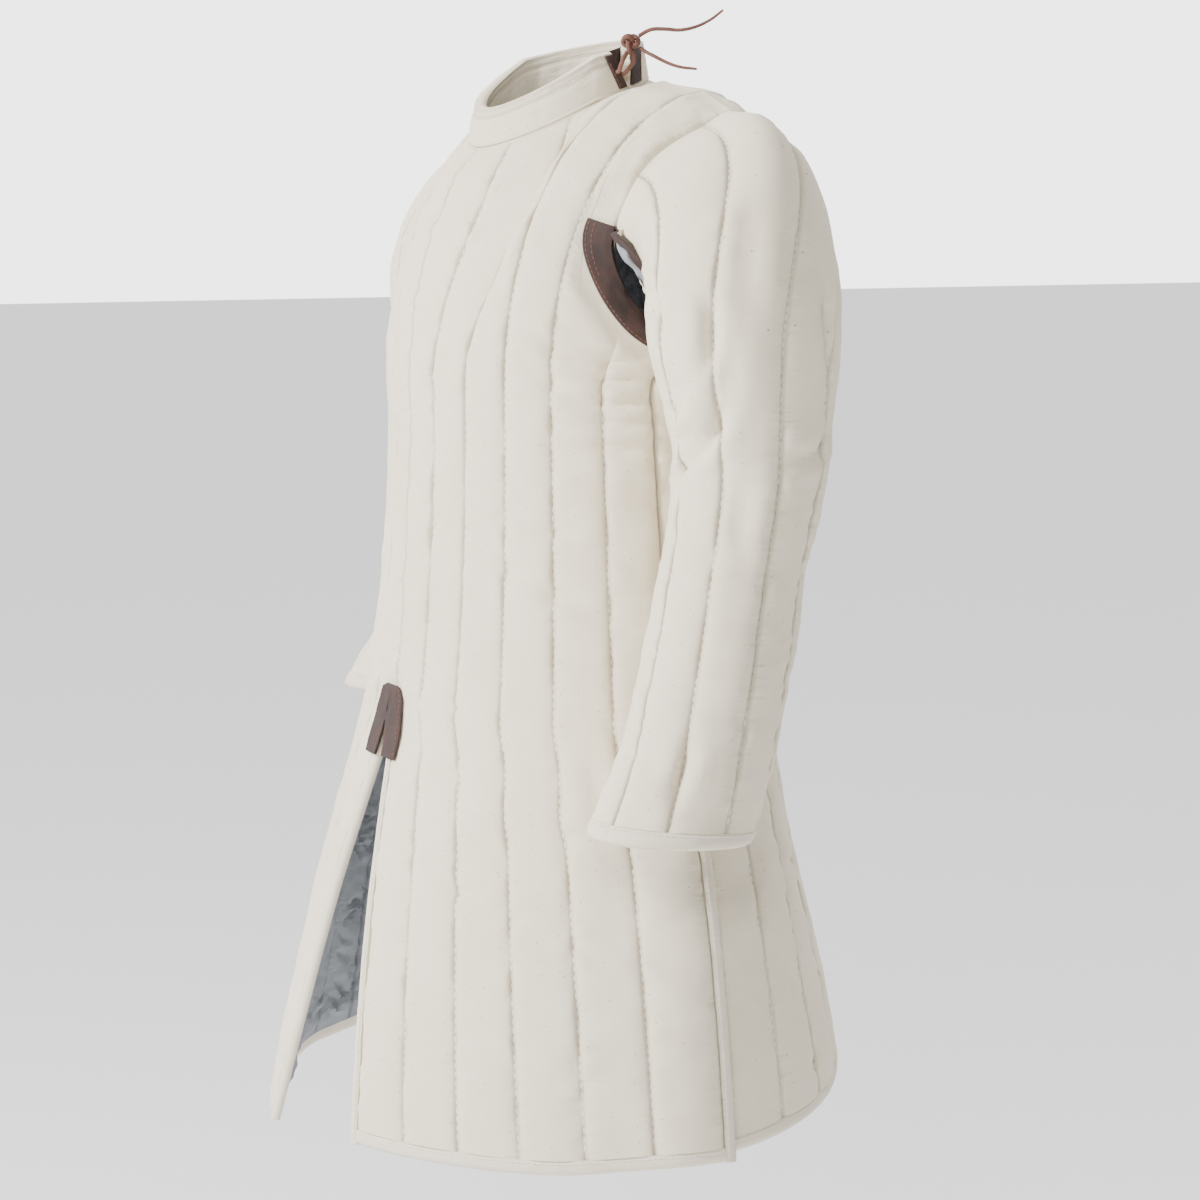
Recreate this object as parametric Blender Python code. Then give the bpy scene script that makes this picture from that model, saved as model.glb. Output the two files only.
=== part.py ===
"""Quilted gambeson in worn shape: hollow padded walls, seams as grooves, leather facings, tied collar.

Metres, +Z up. The front faces -Y and the wearer's left is +X. The origin is at shoulder height on the
neck's axis, where the wearer holds the garment up. Both halves are worked out in the left-hand form,
and the right one is turned over and then brought a little forward at the shoulder, as it is worn.
"""
import bmesh
import bpy
import numpy as np
from math import cos, pi, radians, sin
from mathutils import Vector
from mathutils.bvhtree import BVHTree

for old in list(bpy.data.objects):
    bpy.data.objects.remove(old, do_unlink=True)

# Gaps and wall thickness
GAP = 0.0003
SEAM_GAP = 0.0006
SLEEVE_GAP = 0.0020
COLLAR_GAP = 0.0018
SEAM_WALL = 0.005
CHANNEL_RISE = 0.0045
LEATHER = 0.0018
LEATHER_LIFT = 0.0012

# Quilting: channels in half a panel and round a sleeve, where the outer points lie in a channel
HALF_CHANNELS = 6
SLEEVE_CHANNELS = 8
CHANNEL_STEPS = (0.0, 0.14, 0.5, 0.86)
CHANNEL_BULGE = (0.0, 0.72, 1.0, 0.72)
# The last seam that is drawn up to the shoulder; beyond it the panel runs across to the armhole
LAST_DRAWN = 4

# Heights of the body
CHEST_Z = -0.235
SLIT_TOP_Z = -0.520
VENT_TOP_Z = -0.560
HEM_Z = -0.880
HEM_STRIP = 0.012
EDGE_STRIP = 0.010
STRIP_GROWTH = 0.040
BACK_HEM_RISE = (0.013, 0.048)
FRONT_HEM_RISE = 0.010
RIGHT_HEM_DROP = 0.024
VENT_LAP = 0.014
VENT_LIFT = 0.0125

# How much squarer than an ellipse the upper back is
BACK_SQUARE = 0.9

# Body sections: height, half width, depth in front, depth behind
BODY_SECTIONS = np.array((
    (-0.235, 0.182, 0.144, 0.136),
    (-0.300, 0.190, 0.145, 0.138),
    (-0.380, 0.202, 0.148, 0.142),
    (-0.460, 0.216, 0.155, 0.150),
    (-0.520, 0.230, 0.163, 0.157),
    (-0.600, 0.252, 0.184, 0.170),
    (-0.680, 0.274, 0.207, 0.182),
    (-0.780, 0.295, 0.234, 0.201),
    (-0.880, 0.310, 0.259, 0.221),
))

# Half width of the slits: height, left edge in front, right edge in front, each edge behind
SLIT_SECTIONS = np.array((
    (-0.520, 0.0006, 0.0006, 0.0006),
    (-0.560, 0.010, 0.009, 0.002),
    (-0.680, 0.044, 0.040, 0.004),
    (-0.780, 0.074, 0.060, 0.006),
    (-0.880, 0.104, 0.080, 0.008),
))

# Neck ring and the collar's top ring: half width, depth in front, depth behind, middle in y
NECK_RING = (0.078, 0.076, 0.076, -0.005)
COLLAR_RING = (0.0735, 0.0725, 0.070, -0.003)
# Their heights: middle, fall to the front, fall to the back (up if negative)
NECK_HEIGHT = (0.003, 0.039, 0.022)
COLLAR_HEIGHT = (0.042, 0.044, 0.016)
SHOULDER_ANGLE = 115.0
# The notch in the collar: its two edges at the neck and at the top, in degrees from the front
NOTCH_FRONT = (115.0, 102.0)
NOTCH_BACK = (116.5, 121.0)
COLLAR_WALL = 0.008

# Shoulder seam outside the neck, and how far along it each point lies
SHOULDER_POINTS = ((0.098, 0.047, 0.020), (0.140, 0.066, 0.012), (0.185, 0.072, -0.005))
SHOULDER_PLACES = (0.0, 0.30, 0.66, 1.0)

# Armhole of the left side, from the shoulder down the front and up the back: x, y, z
ARMHOLE = np.array((
    (0.185, 0.072, -0.005),
    (0.181, 0.049, -0.018),
    (0.177, 0.021, -0.033),
    (0.173, -0.003, -0.054),
    (0.169, -0.020, -0.084),
    (0.166, -0.030, -0.118),
    (0.168, -0.021, -0.152),
    (0.174, 0.000, -0.181),
    (0.180, 0.028, -0.194),
    (0.180, 0.062, -0.187),
    (0.177, 0.089, -0.162),
    (0.173, 0.105, -0.125),
    (0.172, 0.111, -0.084),
    (0.175, 0.107, -0.047),
    (0.181, 0.093, -0.019),
))
ARM_BOTTOM, ARM_COUNT = 8, len(ARMHOLE)
ARMHOLE_CENTRE = (0.040, -0.100)

# The top edge of a half panel: from channel, to channel, seam, place at each end
FRONT_TOP = ((0, 1, "neck", 0, 34), (1, 2, "neck", 34, 73), (2, 2.86, "neck", 73, SHOULDER_ANGLE),
             (2.86, 3, "shoulder", 0, 0.30), (3, 4, "shoulder", 0.30, 0.66),
             (4, 6, "shoulder", 0.66, 1))
BACK_TOP = ((0, 1, "neck", 180, 149), (1, 2, "neck", 149, 120), (2, 2.14, "neck", 120, SHOULDER_ANGLE),
            (2.14, 3, "shoulder", 0, 0.30), (3, 4, "shoulder", 0.30, 0.66),
            (4, 6, "shoulder", 0.66, 1))

# Armpit opening: the sleeve leaves the armhole between these places, by this much at its middle
OPENING_FROM, OPENING_TO, OPENING_EASE = 4.2, 12.0, 1.6
OPENING_DROP = np.array((0.040, 0.0, 0.020))

# Left sleeve sections: height, x and y of the middle, half width across, half depth, turn of seams
SLEEVE_SECTIONS = np.array((
    (-0.215, 0.264, 0.049, 0.060, 0.0750, 5.0),
    (-0.300, 0.276, 0.047, 0.055, 0.0600, 2.0),
    (-0.390, 0.290, 0.022, 0.053, 0.0565, 7.0),
    (-0.470, 0.310, -0.003, 0.054, 0.0585, 10.0),
    (-0.540, 0.328, -0.031, 0.055, 0.0600, 16.0),
    (-0.590, 0.340, -0.057, 0.058, 0.0660, 23.0),
))
CUFF_Z = -0.590
CUFF_TILT = -0.07
FOREARM_HEIGHTS = (-0.30, -0.59)
# The right forearm hangs further back and a little higher
RIGHT_FOREARM_BACK = 0.042
RIGHT_FOREARM_UP = 0.030
# Where the sleeve's seams meet the armhole: channel, place counted backwards round it
SLEEVE_TOP = np.array(((-1, 4.9), (0, 3.2), (1, 1.05), (2, -0.9), (3, -2.4), (4, -4.0), (5, -5.6),
                       (6, -7.4), (7, -10.1), (8, -11.8)))
FIRST_SEAM_ANGLE = -93.5
SLEEVE_BACKWARD = 0.45

# Turn of the worn shoulders: the right side comes forward by this share of its distance out
SHOULDER_TURN = 0.15
TURN_SOFTNESS = 0.04
TURN_HEIGHTS = (-0.34, -0.10)

# Rows of points: shares from the top edge to the chest, then heights
RIM_ROWS, RIM_SHARE = 8, 0.86
UPPER_STEPS = tuple(RIM_SHARE * k / RIM_ROWS for k in range(RIM_ROWS + 1)) + (0.93,)
LOWER_HEIGHTS = (CHEST_Z, -0.30, -0.37, -0.44, -0.485, SLIT_TOP_Z, -0.545, -0.58, -0.63, -0.70,
                 -0.78, HEM_Z + HEM_STRIP + 2 * GAP)
SLIT_ROW = len(UPPER_STEPS) + LOWER_HEIGHTS.index(SLIT_TOP_Z)
VENT_ROW = len(UPPER_STEPS) + LOWER_HEIGHTS.index(-0.58)
SLEEVE_UPPER_STEPS = (0.0, 0.12, 0.30, 0.52, 0.76)
SLEEVE_HEIGHTS = (-0.215, -0.255, -0.30, -0.345, -0.39, -0.44, -0.49, -0.54,
                  CUFF_Z + HEM_STRIP + 2 * GAP)
COLLAR_ROWS = ((0.0, 0.0), (0.30, 0.0010), (0.65, 0.0010), (0.92, 0.0005), (1.0, -0.0018))
COLLAR_STEPS = 40

# Section of an edge strip: share of its width, height over the wall's base line
STRIP_SECTION = ((0.0, 0.0022), (0.5, 0.0034), (0.88, 0.0020), (1.0, -0.0015), (0.88, -0.0046),
                 (0.0, -SEAM_WALL))

# Leather: widths of the armpit facings, and the arch over the slit's top
ARMPIT_FACING = 0.020
FACING_ROWS = (0.0030, 0.0073, 0.0115, 0.0158, ARMPIT_FACING)
FACING_PLACES = (4.5, 11.6)
FACING_STEPS = 34
FACING_FLAT = (0.022, 0.040)
ARCH_MIDDLE_Z, ARCH_TOP, ARCH_INNER_TOP = -0.532, 0.0285, 0.008
ARCH_HALF, ARCH_INNER_HALF = 0.0245, 0.0022
ARCH_FOOT_Z = -0.563
ARCH_LIFT = 0.0042
NOTCH_FACING = (7.0, 13.0)
UNDERLAP = (96.0, 125.0)

# Thong: radius, knot and the routes of its strands and free ends, by hand along the photo's curves
THONG_RADIUS = 0.0016
KNOT_MIDDLE = (0.0815, 0.0265, 0.0525)
KNOT_SIZE = (0.0065, 0.0085, 0.0100)
STRAND_FRONT = ((0.0776, 0.0157, 0.0280), (0.0800, 0.0161, 0.0287), (0.0822, 0.0168, 0.0328),
                (0.0832, 0.0188, 0.0390), (0.0823, 0.0222, 0.0434))
STRAND_BACK = ((0.0762, 0.0214, 0.0267), (0.0787, 0.0225, 0.0273), (0.0813, 0.0256, 0.0316),
               (0.0828, 0.0288, 0.0375), (0.0823, 0.0290, 0.0429))
END_UPPER = ((0.0815, 0.0341, 0.0586), (0.0838, 0.0402, 0.0626), (0.0870, 0.0459, 0.0646),
             (0.0910, 0.0564, 0.0645), (0.0950, 0.0668, 0.0638), (0.0990, 0.0792, 0.0664),
             (0.1030, 0.0915, 0.0724), (0.1060, 0.1025, 0.0809))
END_LOWER = ((0.0837, 0.0345, 0.0483), (0.0878, 0.0386, 0.0448), (0.0930, 0.0425, 0.0418),
             (0.1000, 0.0532, 0.0355), (0.1060, 0.0627, 0.0320), (0.1120, 0.0750, 0.0304))

CREAM = (0.80, 0.76, 0.68)
EDGE_CREAM = (0.76, 0.72, 0.63)
LEATHER_BROWN = (0.055, 0.028, 0.022)
THONG_BROWN = (0.22, 0.09, 0.055)


def smooth(edge0, edge1, value):
    """Smooth step from 0 to 1."""
    t = np.clip((value - edge0) / (edge1 - edge0), 0.0, 1.0)
    return t * t * (3.0 - 2.0 * t)


def unit(vector):
    """The vector at length 1."""
    return np.asarray(vector, float) / np.linalg.norm(vector)


def hermite(p0, m0, p1, m1, t):
    """A point of the cubic curve from p0 to p1 with end slopes m0 and m1."""
    return ((2 * t**3 - 3 * t**2 + 1) * p0 + (t**3 - 2 * t**2 + t) * m0
            + (3 * t**2 - 2 * t**3) * p1 + (t**3 - t**2) * m1)


def section(rows, z):
    """Smooth values of a table's columns at a height; its first column falls."""
    heights = rows[:, 0]
    slopes = np.gradient(rows[:, 1:], heights, axis=0)
    z = np.clip(z, heights[-1], heights[0])
    i = int(np.clip(np.searchsorted(-heights, -z) - 1, 0, len(heights) - 2))
    width = heights[i + 1] - heights[i]
    return hermite(rows[i, 1:], width * slopes[i], rows[i + 1, 1:], width * slopes[i + 1],
                   (z - heights[i]) / width)


def to_side(points, left):
    """Points of the left-hand form on their own side of the worn garment."""
    points = np.array(points, float)
    if left:
        return points
    x, z = points[..., 0], points[..., 2]
    turned = points * np.array((-1.0, 1.0, 1.0))
    forward = SHOULDER_TURN * x * x / (np.abs(x) + TURN_SOFTNESS) * smooth(*TURN_HEIGHTS, z)
    turned[..., 1] -= forward
    return turned


def ring_point(ring, height, degrees):
    """A point of the neck or collar ring; 0 is the front and 90 the wearer's left."""
    half, front, behind, middle = ring
    a = radians(degrees)
    depth, drop = (front, height[1]) if cos(a) > 0 else (behind, height[2])
    return np.array((half * sin(a), middle - depth * cos(a), height[0] - drop * cos(a)))


def shoulder(place):
    """A point of the shoulder seam, 0 at the neck and 1 at its outer end."""
    points = np.array((ring_point(NECK_RING, NECK_HEIGHT, SHOULDER_ANGLE), *SHOULDER_POINTS))
    return np.array([np.interp(place, SHOULDER_PLACES, points[:, k]) for k in range(3)])


def armhole(place):
    """A point of the closed smooth armhole curve; whole numbers are the table's rows."""
    i = int(np.floor(place))
    t = place - i
    p0, p1, p2, p3 = (ARMHOLE[(i + k) % ARM_COUNT] for k in (-1, 0, 1, 2))
    return hermite(p1, (p2 - p0) / 2, p2, (p3 - p1) / 2, t)


def armhole_out(point):
    """Direction away from the armhole's middle, in the plane of the hole."""
    return unit((0.0, point[1] - ARMHOLE_CENTRE[0], point[2] - ARMHOLE_CENTRE[1]))


def opening(place):
    """How far the armpit is open at a place of the armhole, 0 where the sleeve is sewn in."""
    return float(smooth(OPENING_FROM, OPENING_FROM + OPENING_EASE, place)
                 * (1 - smooth(OPENING_TO - OPENING_EASE, OPENING_TO, place)))


def top_edge(behind, channel):
    """Point, start direction and shared wall direction on a half panel's top edge."""
    rows = BACK_TOP if behind else FRONT_TOP
    c0, c1, seam, s0, s1 = next(row for row in rows if channel <= row[1])
    place = s0 + (s1 - s0) * (channel - c0) / (c1 - c0)
    way = 1.0 if behind else -1.0
    if seam == "neck":
        a = radians(place)
        flat = np.array((sin(a), -cos(a), 0.0))
        start = flat * (0.80, 0.62)[not behind] + np.array((0.0, 0.0, -0.50 if behind else -0.78))
        lift = smooth(180 if behind else 60, SHOULDER_ANGLE, place)
        start = (1 - lift) * start + lift * np.array((0.25, way, -0.12))
        return ring_point(NECK_RING, NECK_HEIGHT, place), start, None
    apart = np.array((0.0, way * SEAM_GAP / 2, 0.0))
    return shoulder(place) + apart, np.array((0.11, way, -0.24)), unit((0.12, 0.0, 1.0))


def rim_place(behind, t):
    """Place on the armhole of a row's outer end, or its bottom from there down."""
    share = min(t / RIM_SHARE, 1.0)
    return ARM_COUNT - (ARM_COUNT - ARM_BOTTOM) * share if behind else ARM_BOTTOM * share


def rim_point(behind, t):
    """The outer end of a row: on the armhole, and under it on the side seam."""
    apart = np.array((0.0, (1.0 if behind else -1.0) * SEAM_GAP / 2, 0.0))
    point = armhole(rim_place(behind, t)) + apart
    below = max(0.0, (t - RIM_SHARE) / (1.0 - RIM_SHARE))
    return point + (lower_point(behind, True, HALF_CHANNELS, CHEST_Z) - point) * below


def quarter(behind, z):
    """Points of the body's section from the centre past the side, and their running length."""
    half, front, back = section(BODY_SECTIONS, z)
    angle = np.radians(np.arange(0.0, 113.0))
    near, far = (back, front) if behind else (front, back)
    square = 2.0 / (2.0 + (BACK_SQUARE if behind else 0.0) * float(smooth(-0.50, -0.30, z)))
    across = np.sign(np.cos(angle)) * np.abs(np.cos(angle)) ** square
    y = (1.0 if behind else -1.0) * np.where(angle < pi / 2, near, far) * across
    x = half * np.sin(angle) ** square
    run = np.concatenate(([0.0], np.cumsum(np.hypot(np.diff(x), np.diff(y)))))
    return x, y, run, float(run[90])


def strip_width(top, z):
    """Width of an edge strip at a height: nothing at its top, full a little below."""
    return EDGE_STRIP * float(smooth(0.0, STRIP_GROWTH, top - z))


def hem_shift(behind, left, share):
    """How much higher the hem hangs at a share of the half panel, 0 at the slit, 1 at the side."""
    if behind:
        return BACK_HEM_RISE[0] + BACK_HEM_RISE[1] * (1.0 - share)
    rise = FRONT_HEM_RISE * float(smooth(0.55, 1.0, share))
    return rise - (0.0 if left else RIGHT_HEM_DROP * float(smooth(0.55, 0.0, share)))


def body_edges(behind, left, z):
    """Running lengths of the slit edge and the side edge of a half panel, strips included."""
    left_gap, right_gap, back_gap = section(SLIT_SECTIONS, z)
    slit = 0.0 if z >= SLIT_TOP_Z else (back_gap if behind else left_gap if left else right_gap)
    lap = 0.0 if behind else VENT_LAP * float(smooth(0.0, 0.07, VENT_TOP_Z - z))
    return slit, quarter(behind, z)[3] - SEAM_GAP / 2 + lap


def body_point(behind, left, run_at, z, share):
    """A point of the section at a running length; the front's side edge lies over the back's."""
    x, y, run, side = quarter(behind, z)
    before, after = max(run_at - 0.002, 0.0), run_at + 0.002
    along = [np.interp(after, run, v) - np.interp(before, run, v) for v in (x, y)]
    out = np.array((abs(along[1]), (1.0 if behind else -1.0) * along[0])) / np.hypot(*along)
    lift = 0.0
    if not behind:
        lift = VENT_LIFT * float(smooth(side * 0.80, side * 0.97, run_at)
                                 * smooth(0.0, 0.06, VENT_TOP_Z + 0.045 - z))
    drop = hem_shift(behind, left, share) * float(smooth(SLIT_TOP_Z, HEM_Z, z))
    return np.array((np.interp(run_at, run, x) + out[0] * lift,
                     np.interp(run_at, run, y) + out[1] * lift, z + drop))


def lower_point(behind, left, channel, z):
    """A point of the panel below the chest line, at a channel number from the centre."""
    slit, side = body_edges(behind, left, z)
    inner = slit + (strip_width(SLIT_TOP_Z, z) + GAP if z < SLIT_TOP_Z else 0.0)
    outer = side - (strip_width(VENT_TOP_Z, z) + GAP if z < VENT_TOP_Z else 0.0)
    share = channel / HALF_CHANNELS
    return body_point(behind, left, inner + (outer - inner) * share, z, share)


def seam_point(behind, channel, t):
    """A point of a drawn seam between the top edge, t = 0, and the chest line, t = 1."""
    if channel > LAST_DRAWN:
        return rim_point(behind, t)
    start, way, _ = top_edge(behind, channel)
    end = lower_point(behind, True, channel, CHEST_Z)
    below = lower_point(behind, True, channel, CHEST_Z - 0.03)
    span = np.linalg.norm(end - start)
    return hermite(start, unit(way) * span * 1.15, end, (below - end) / 0.03 * span * 0.95, t)


def upper_point(behind, channel, t):
    """A point above the chest, filled in between two drawn seams, the top edge and the chest line."""
    c0 = min(int(channel), LAST_DRAWN)
    c1 = c0 + 1 if c0 < LAST_DRAWN else HALF_CHANNELS
    share = (channel - c0) / (c1 - c0)
    p0, p1, q0, q1 = (seam_point(behind, c, at) for at in (t, 1.0) for c in (c0, c1))
    width = min(1.0, float(np.linalg.norm(p1 - p0) / np.linalg.norm(q1 - q0)))
    point = p0 * (1 - share) + p1 * share
    for weight, edge in ((1 - float(smooth(0.0, 0.3, t)), lambda c: top_edge(behind, c)[0]),
                         (float(smooth(0.0, 1.0, t)) * width**2,
                          lambda c: lower_point(behind, True, c, CHEST_Z))):
        point = point + weight * (edge(channel) - edge(c0) * (1 - share) - edge(c1) * share)
    return point


def channel_columns(count, step):
    """Column places over a number of channels, their quilting bulge, and the inner wall's columns."""
    places = [c + part for c in range(count) for part in CHANNEL_STEPS]
    return places, list(CHANNEL_BULGE) * count, list(range(0, len(places), step))


def panel_columns():
    """The same for half a panel, with its side edge."""
    places, bulge, inner = channel_columns(HALF_CHANNELS, len(CHANNEL_STEPS))
    return places + [HALF_CHANNELS], bulge + [0.0], inner + [len(places)]


def grid_normals(points, outward):
    """Unit normals of a grid of points, all turned to the side of most of the outward vectors."""
    normals = np.cross(np.gradient(points, axis=1), np.gradient(points, axis=0))
    normals /= np.maximum(np.linalg.norm(normals, axis=2, keepdims=True), 1e-12)
    return normals * np.sign(np.sum(normals * outward))


def blend(own, shared, open_at):
    """The wall direction that both sides of a seam use where it is sewn, the wall's own elsewhere."""
    return unit(own * open_at + shared * (1 - open_at))


def half_panel(behind, left):
    """Base points, wall directions and quilting rise of a half panel, in the left-hand form."""
    places, bulge, _ = panel_columns()
    points = np.array([[upper_point(behind, c, t) for c in places] for t in UPPER_STEPS]
                      + [[lower_point(behind, left, c, z) for c in places] for z in LOWER_HEIGHTS])
    outward = points - np.array((0.0, 0.01, -0.22))
    outward[len(UPPER_STEPS):, :, 2] = 0.0
    normals = grid_normals(points, outward)
    for k, place in enumerate(places):
        shared = top_edge(behind, place)[2]
        normals[0, k] = normals[0, k] if shared is None else shared
    normals[RIM_ROWS:, -1, 1] = 0.0
    normals[RIM_ROWS:len(UPPER_STEPS) + 1, -1, 2] = 0.0
    normals[:SLIT_ROW + 1, 0, 0] = 0.0
    normals /= np.linalg.norm(normals, axis=2, keepdims=True)
    for r, t in enumerate(UPPER_STEPS[:RIM_ROWS]):
        at = rim_place(behind, t)
        normals[r, -1] = blend(normals[r, -1], armhole_out(points[r, -1]), opening(at))
    rise = np.tile(np.array(bulge), (len(points), 1))
    beside = np.clip((np.array(places) - LAST_DRAWN) / (HALF_CHANNELS - LAST_DRAWN), 0.0, 1.0)
    single = np.minimum(1.0, 1.3 * np.sin(pi * beside))
    above = smooth(CHEST_Z, CHEST_Z + 0.06, points[:, :, 2]) * (beside > 0)
    rise = (rise * (1 - above) + single * above) * CHANNEL_RISE
    rise *= smooth(0.0, 1.6, np.arange(len(points)))[:, None]
    rise[-1] *= 0.7
    rim = np.array([armhole(float(p)) for p in np.linspace(*FACING_PLACES, 60)])
    near = np.linalg.norm(points[:, :, None] - rim, axis=3).min(axis=2)
    rise *= smooth(*FACING_FLAT, near)
    if not behind:
        first = len(CHANNEL_STEPS)
        flat = 0.55 * np.exp(-((points[:, :first, 2] + 0.535) / 0.035) ** 2)
        rise[:, :first] *= 1.0 - flat
    return points, normals, rise


def add_grid(mesh, points):
    """Vertices of a grid."""
    return [[mesh.verts.new(p) for p in row] for row in points]


def edge_fan(mesh, outer, inner, columns):
    """Close the edge between a fine outer row and an inner row that has some of its columns."""
    for k in range(len(inner) - 1):
        fine = outer[columns[k]:columns[k + 1] + 1]
        middle = len(fine) // 2
        for j in range(len(fine) - 1):
            mesh.faces.new((inner[k + (j >= middle)], fine[j], fine[j + 1]))
        mesh.faces.new((inner[k], fine[middle], inner[k + 1]))


def skin(mesh, grid):
    """Quads over a grid of vertices."""
    for upper, lower in zip(grid, grid[1:]):
        for k in range(len(upper) - 1):
            mesh.faces.new((upper[k], upper[k + 1], lower[k + 1], lower[k]))


def side_wall(mesh, outer, inner, column):
    """Close a side edge between the outer and inner grids."""
    for (a, b), (c, d) in zip(zip(outer, outer[1:]), zip(inner, inner[1:])):
        mesh.faces.new((a[column], b[column], d[column], c[column]))


def material(name, colour, roughness):
    """A plain material for a sub-part."""
    made = bpy.data.materials.new(name)
    made.use_nodes = True
    shader = made.node_tree.nodes["Principled BSDF"]
    shader.inputs["Base Color"].default_value = (*colour, 1.0)
    shader.inputs["Roughness"].default_value = roughness
    return made


def finish(mesh, name, colour, roughness):
    """Turn a bmesh into a named object with its own material."""
    bmesh.ops.recalc_face_normals(mesh, faces=mesh.faces)
    data = bpy.data.meshes.new(name)
    mesh.to_mesh(data)
    mesh.free()
    data.materials.append(material(name, colour, roughness))
    made = bpy.data.objects.new(name, data)
    bpy.context.scene.collection.objects.link(made)
    return made


def panel(name, behind, halves):
    """A quilted front or back: two halves that part below the top of the slit."""
    mesh = bmesh.new()
    kept = {}
    columns = panel_columns()[2]
    for left, (points, normals, rise) in halves.items():
        outer = to_side(points + normals * rise[:, :, None], left)
        inner = to_side((points - normals * SEAM_WALL)[:, columns], left)
        for kind, grid in (("outer", outer), ("inner", inner)):
            grid[:SLIT_ROW + 1, 0, 0] = 0.0
            verts = add_grid(mesh, grid)
            for r in range(SLIT_ROW + 1) if not left else ():
                mesh.verts.remove(verts[r][0])
                verts[r][0] = kept[kind][r][0]
            skin(mesh, verts)
            kept[kind] = verts
        for row in (0, -1):
            edge_fan(mesh, kept["outer"][row], kept["inner"][row], columns)
        side_wall(mesh, kept["outer"], kept["inner"], -1)
        side_wall(mesh, kept["outer"][SLIT_ROW:], kept["inner"][SLIT_ROW:], 0)
    return finish(mesh, name, CREAM, 0.9)


def bead(name, stations, left, closed):
    """An edge strip: its section carried along stations of inner point, outer point, direction."""
    mesh = bmesh.new()
    loops = []
    for p0, p1, out in stations:
        loops.append([mesh.verts.new(to_side(p0 + (p1 - p0) * share + out * height, left))
                      for share, height in STRIP_SECTION])
    count = len(STRIP_SECTION)
    for a, b in zip(loops, loops[1:] + (loops[:1] if closed else [])):
        for k in range(count):
            mesh.faces.new((a[k], a[(k + 1) % count], b[(k + 1) % count], b[k]))
    if not closed:
        mesh.faces.new(loops[0])
        mesh.faces.new(loops[-1][::-1])
    return finish(mesh, name, EDGE_CREAM, 0.9)


def edge_pair(behind, left, z, at_slit):
    """Inner and outer points of a slit or vent strip at a height."""
    slit, side = body_edges(behind, left, z)
    if at_slit:
        runs, share = (slit + strip_width(SLIT_TOP_Z, z), slit), 0.0
    else:
        runs, share = (side - strip_width(VENT_TOP_Z, z), side), 1.0
    return [body_point(behind, left, run, z, share) for run in runs]


def panel_strips(behind, left, grid):
    """The hem, slit and vent strips of a half panel, in line with its own rows and columns."""
    points, normals, _ = grid
    tail = f"{'back' if behind else 'front'}_{'left' if left else 'right'}"
    hem = [(lower_point(behind, left, place, HEM_Z + HEM_STRIP),
            lower_point(behind, left, place, HEM_Z), normals[-1, k])
           for k, place in enumerate(panel_columns()[0])]
    bead(f"hem_strip_{tail}", hem, left, False)
    for name, first, column, at_slit in (("slit", SLIT_ROW + 1, 0, True),
                                         ("vent", VENT_ROW, -1, False)):
        rows = range(first, len(points))
        heights = [LOWER_HEIGHTS[r - len(UPPER_STEPS)] for r in rows]
        stations = [(*edge_pair(behind, left, z, at_slit), normals[r, column])
                    for r, z in zip(rows, heights)]
        stations.append((*edge_pair(behind, left, HEM_Z, at_slit), normals[-1, column]))
        bead(f"{name}_strip_{tail}", stations, left, False)


def sleeve_point(left, channel, z):
    """A point of a sleeve's section at a channel number."""
    x, y, half, depth, turn = section(SLEEVE_SECTIONS, z)
    down = float(smooth(*FOREARM_HEIGHTS, z))
    a = radians(FIRST_SEAM_ANGLE + turn + 360.0 / SLEEVE_CHANNELS * channel)
    y += 0.0 if left else RIGHT_FOREARM_BACK * down
    z += (0.0 if left else RIGHT_FOREARM_UP * down) + CUFF_TILT * down**2 * depth * sin(a)
    return np.array((x + half * cos(a), y + depth * sin(a), z))


def sleeve_grid(left):
    """Base points, wall directions and quilting rise of a sleeve, in the left-hand form."""
    places, bulge, _ = channel_columns(SLEEVE_CHANNELS, 1)
    rows = [[] for _ in SLEEVE_UPPER_STEPS]
    shared, open_at = [], []
    for c in places:
        place = float(np.interp(c, SLEEVE_TOP[:, 0], SLEEVE_TOP[:, 1])) % ARM_COUNT
        is_open = opening(place)
        start = armhole(place)
        shared.append(armhole_out(start))
        open_at.append(is_open)
        start = start + np.array((SLEEVE_GAP, 0.0, 0.0)) + is_open * OPENING_DROP
        end = sleeve_point(left, c, SLEEVE_HEIGHTS[0])
        below = sleeve_point(left, c, SLEEVE_HEIGHTS[0] - 0.03)
        span = np.linalg.norm(end - start)
        backward = SLEEVE_BACKWARD * max(0.0, start[1] - ARMHOLE_CENTRE[0]) / 0.08
        way = unit(np.array((1.0, backward, -0.10)) * (1 - is_open)
                   + np.array((0.10, 0.0, -1.0)) * is_open)
        m0 = way * span * (1.30 - 0.60 * is_open)
        m1 = (below - end) / 0.03 * span * (1.15 - 0.40 * is_open)
        for row, t in zip(rows, SLEEVE_UPPER_STEPS):
            row.append(hermite(start, m0, end, m1, t))
    rows += [[sleeve_point(left, c, z) for c in places] for z in SLEEVE_HEIGHTS]
    points = np.array(rows)
    wrapped = np.concatenate((points[:, -2:], points, points[:, :2]), axis=1)
    normals = grid_normals(wrapped, wrapped - points.mean(axis=1, keepdims=True))[:, 2:-2]
    for k, (direction, is_open) in enumerate(zip(shared, open_at)):
        normals[0, k] = blend(normals[0, k], direction, is_open)
    rise = np.outer(smooth(0.0, 1.6, np.arange(len(points))), np.array(bulge) * CHANNEL_RISE)
    rise[-1] *= 0.7
    rim = points[0, np.array(open_at) > 0.3]
    rise *= smooth(*FACING_FLAT, np.linalg.norm(points[:, :, None] - rim, axis=3).min(axis=2))
    return points, normals, rise


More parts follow.
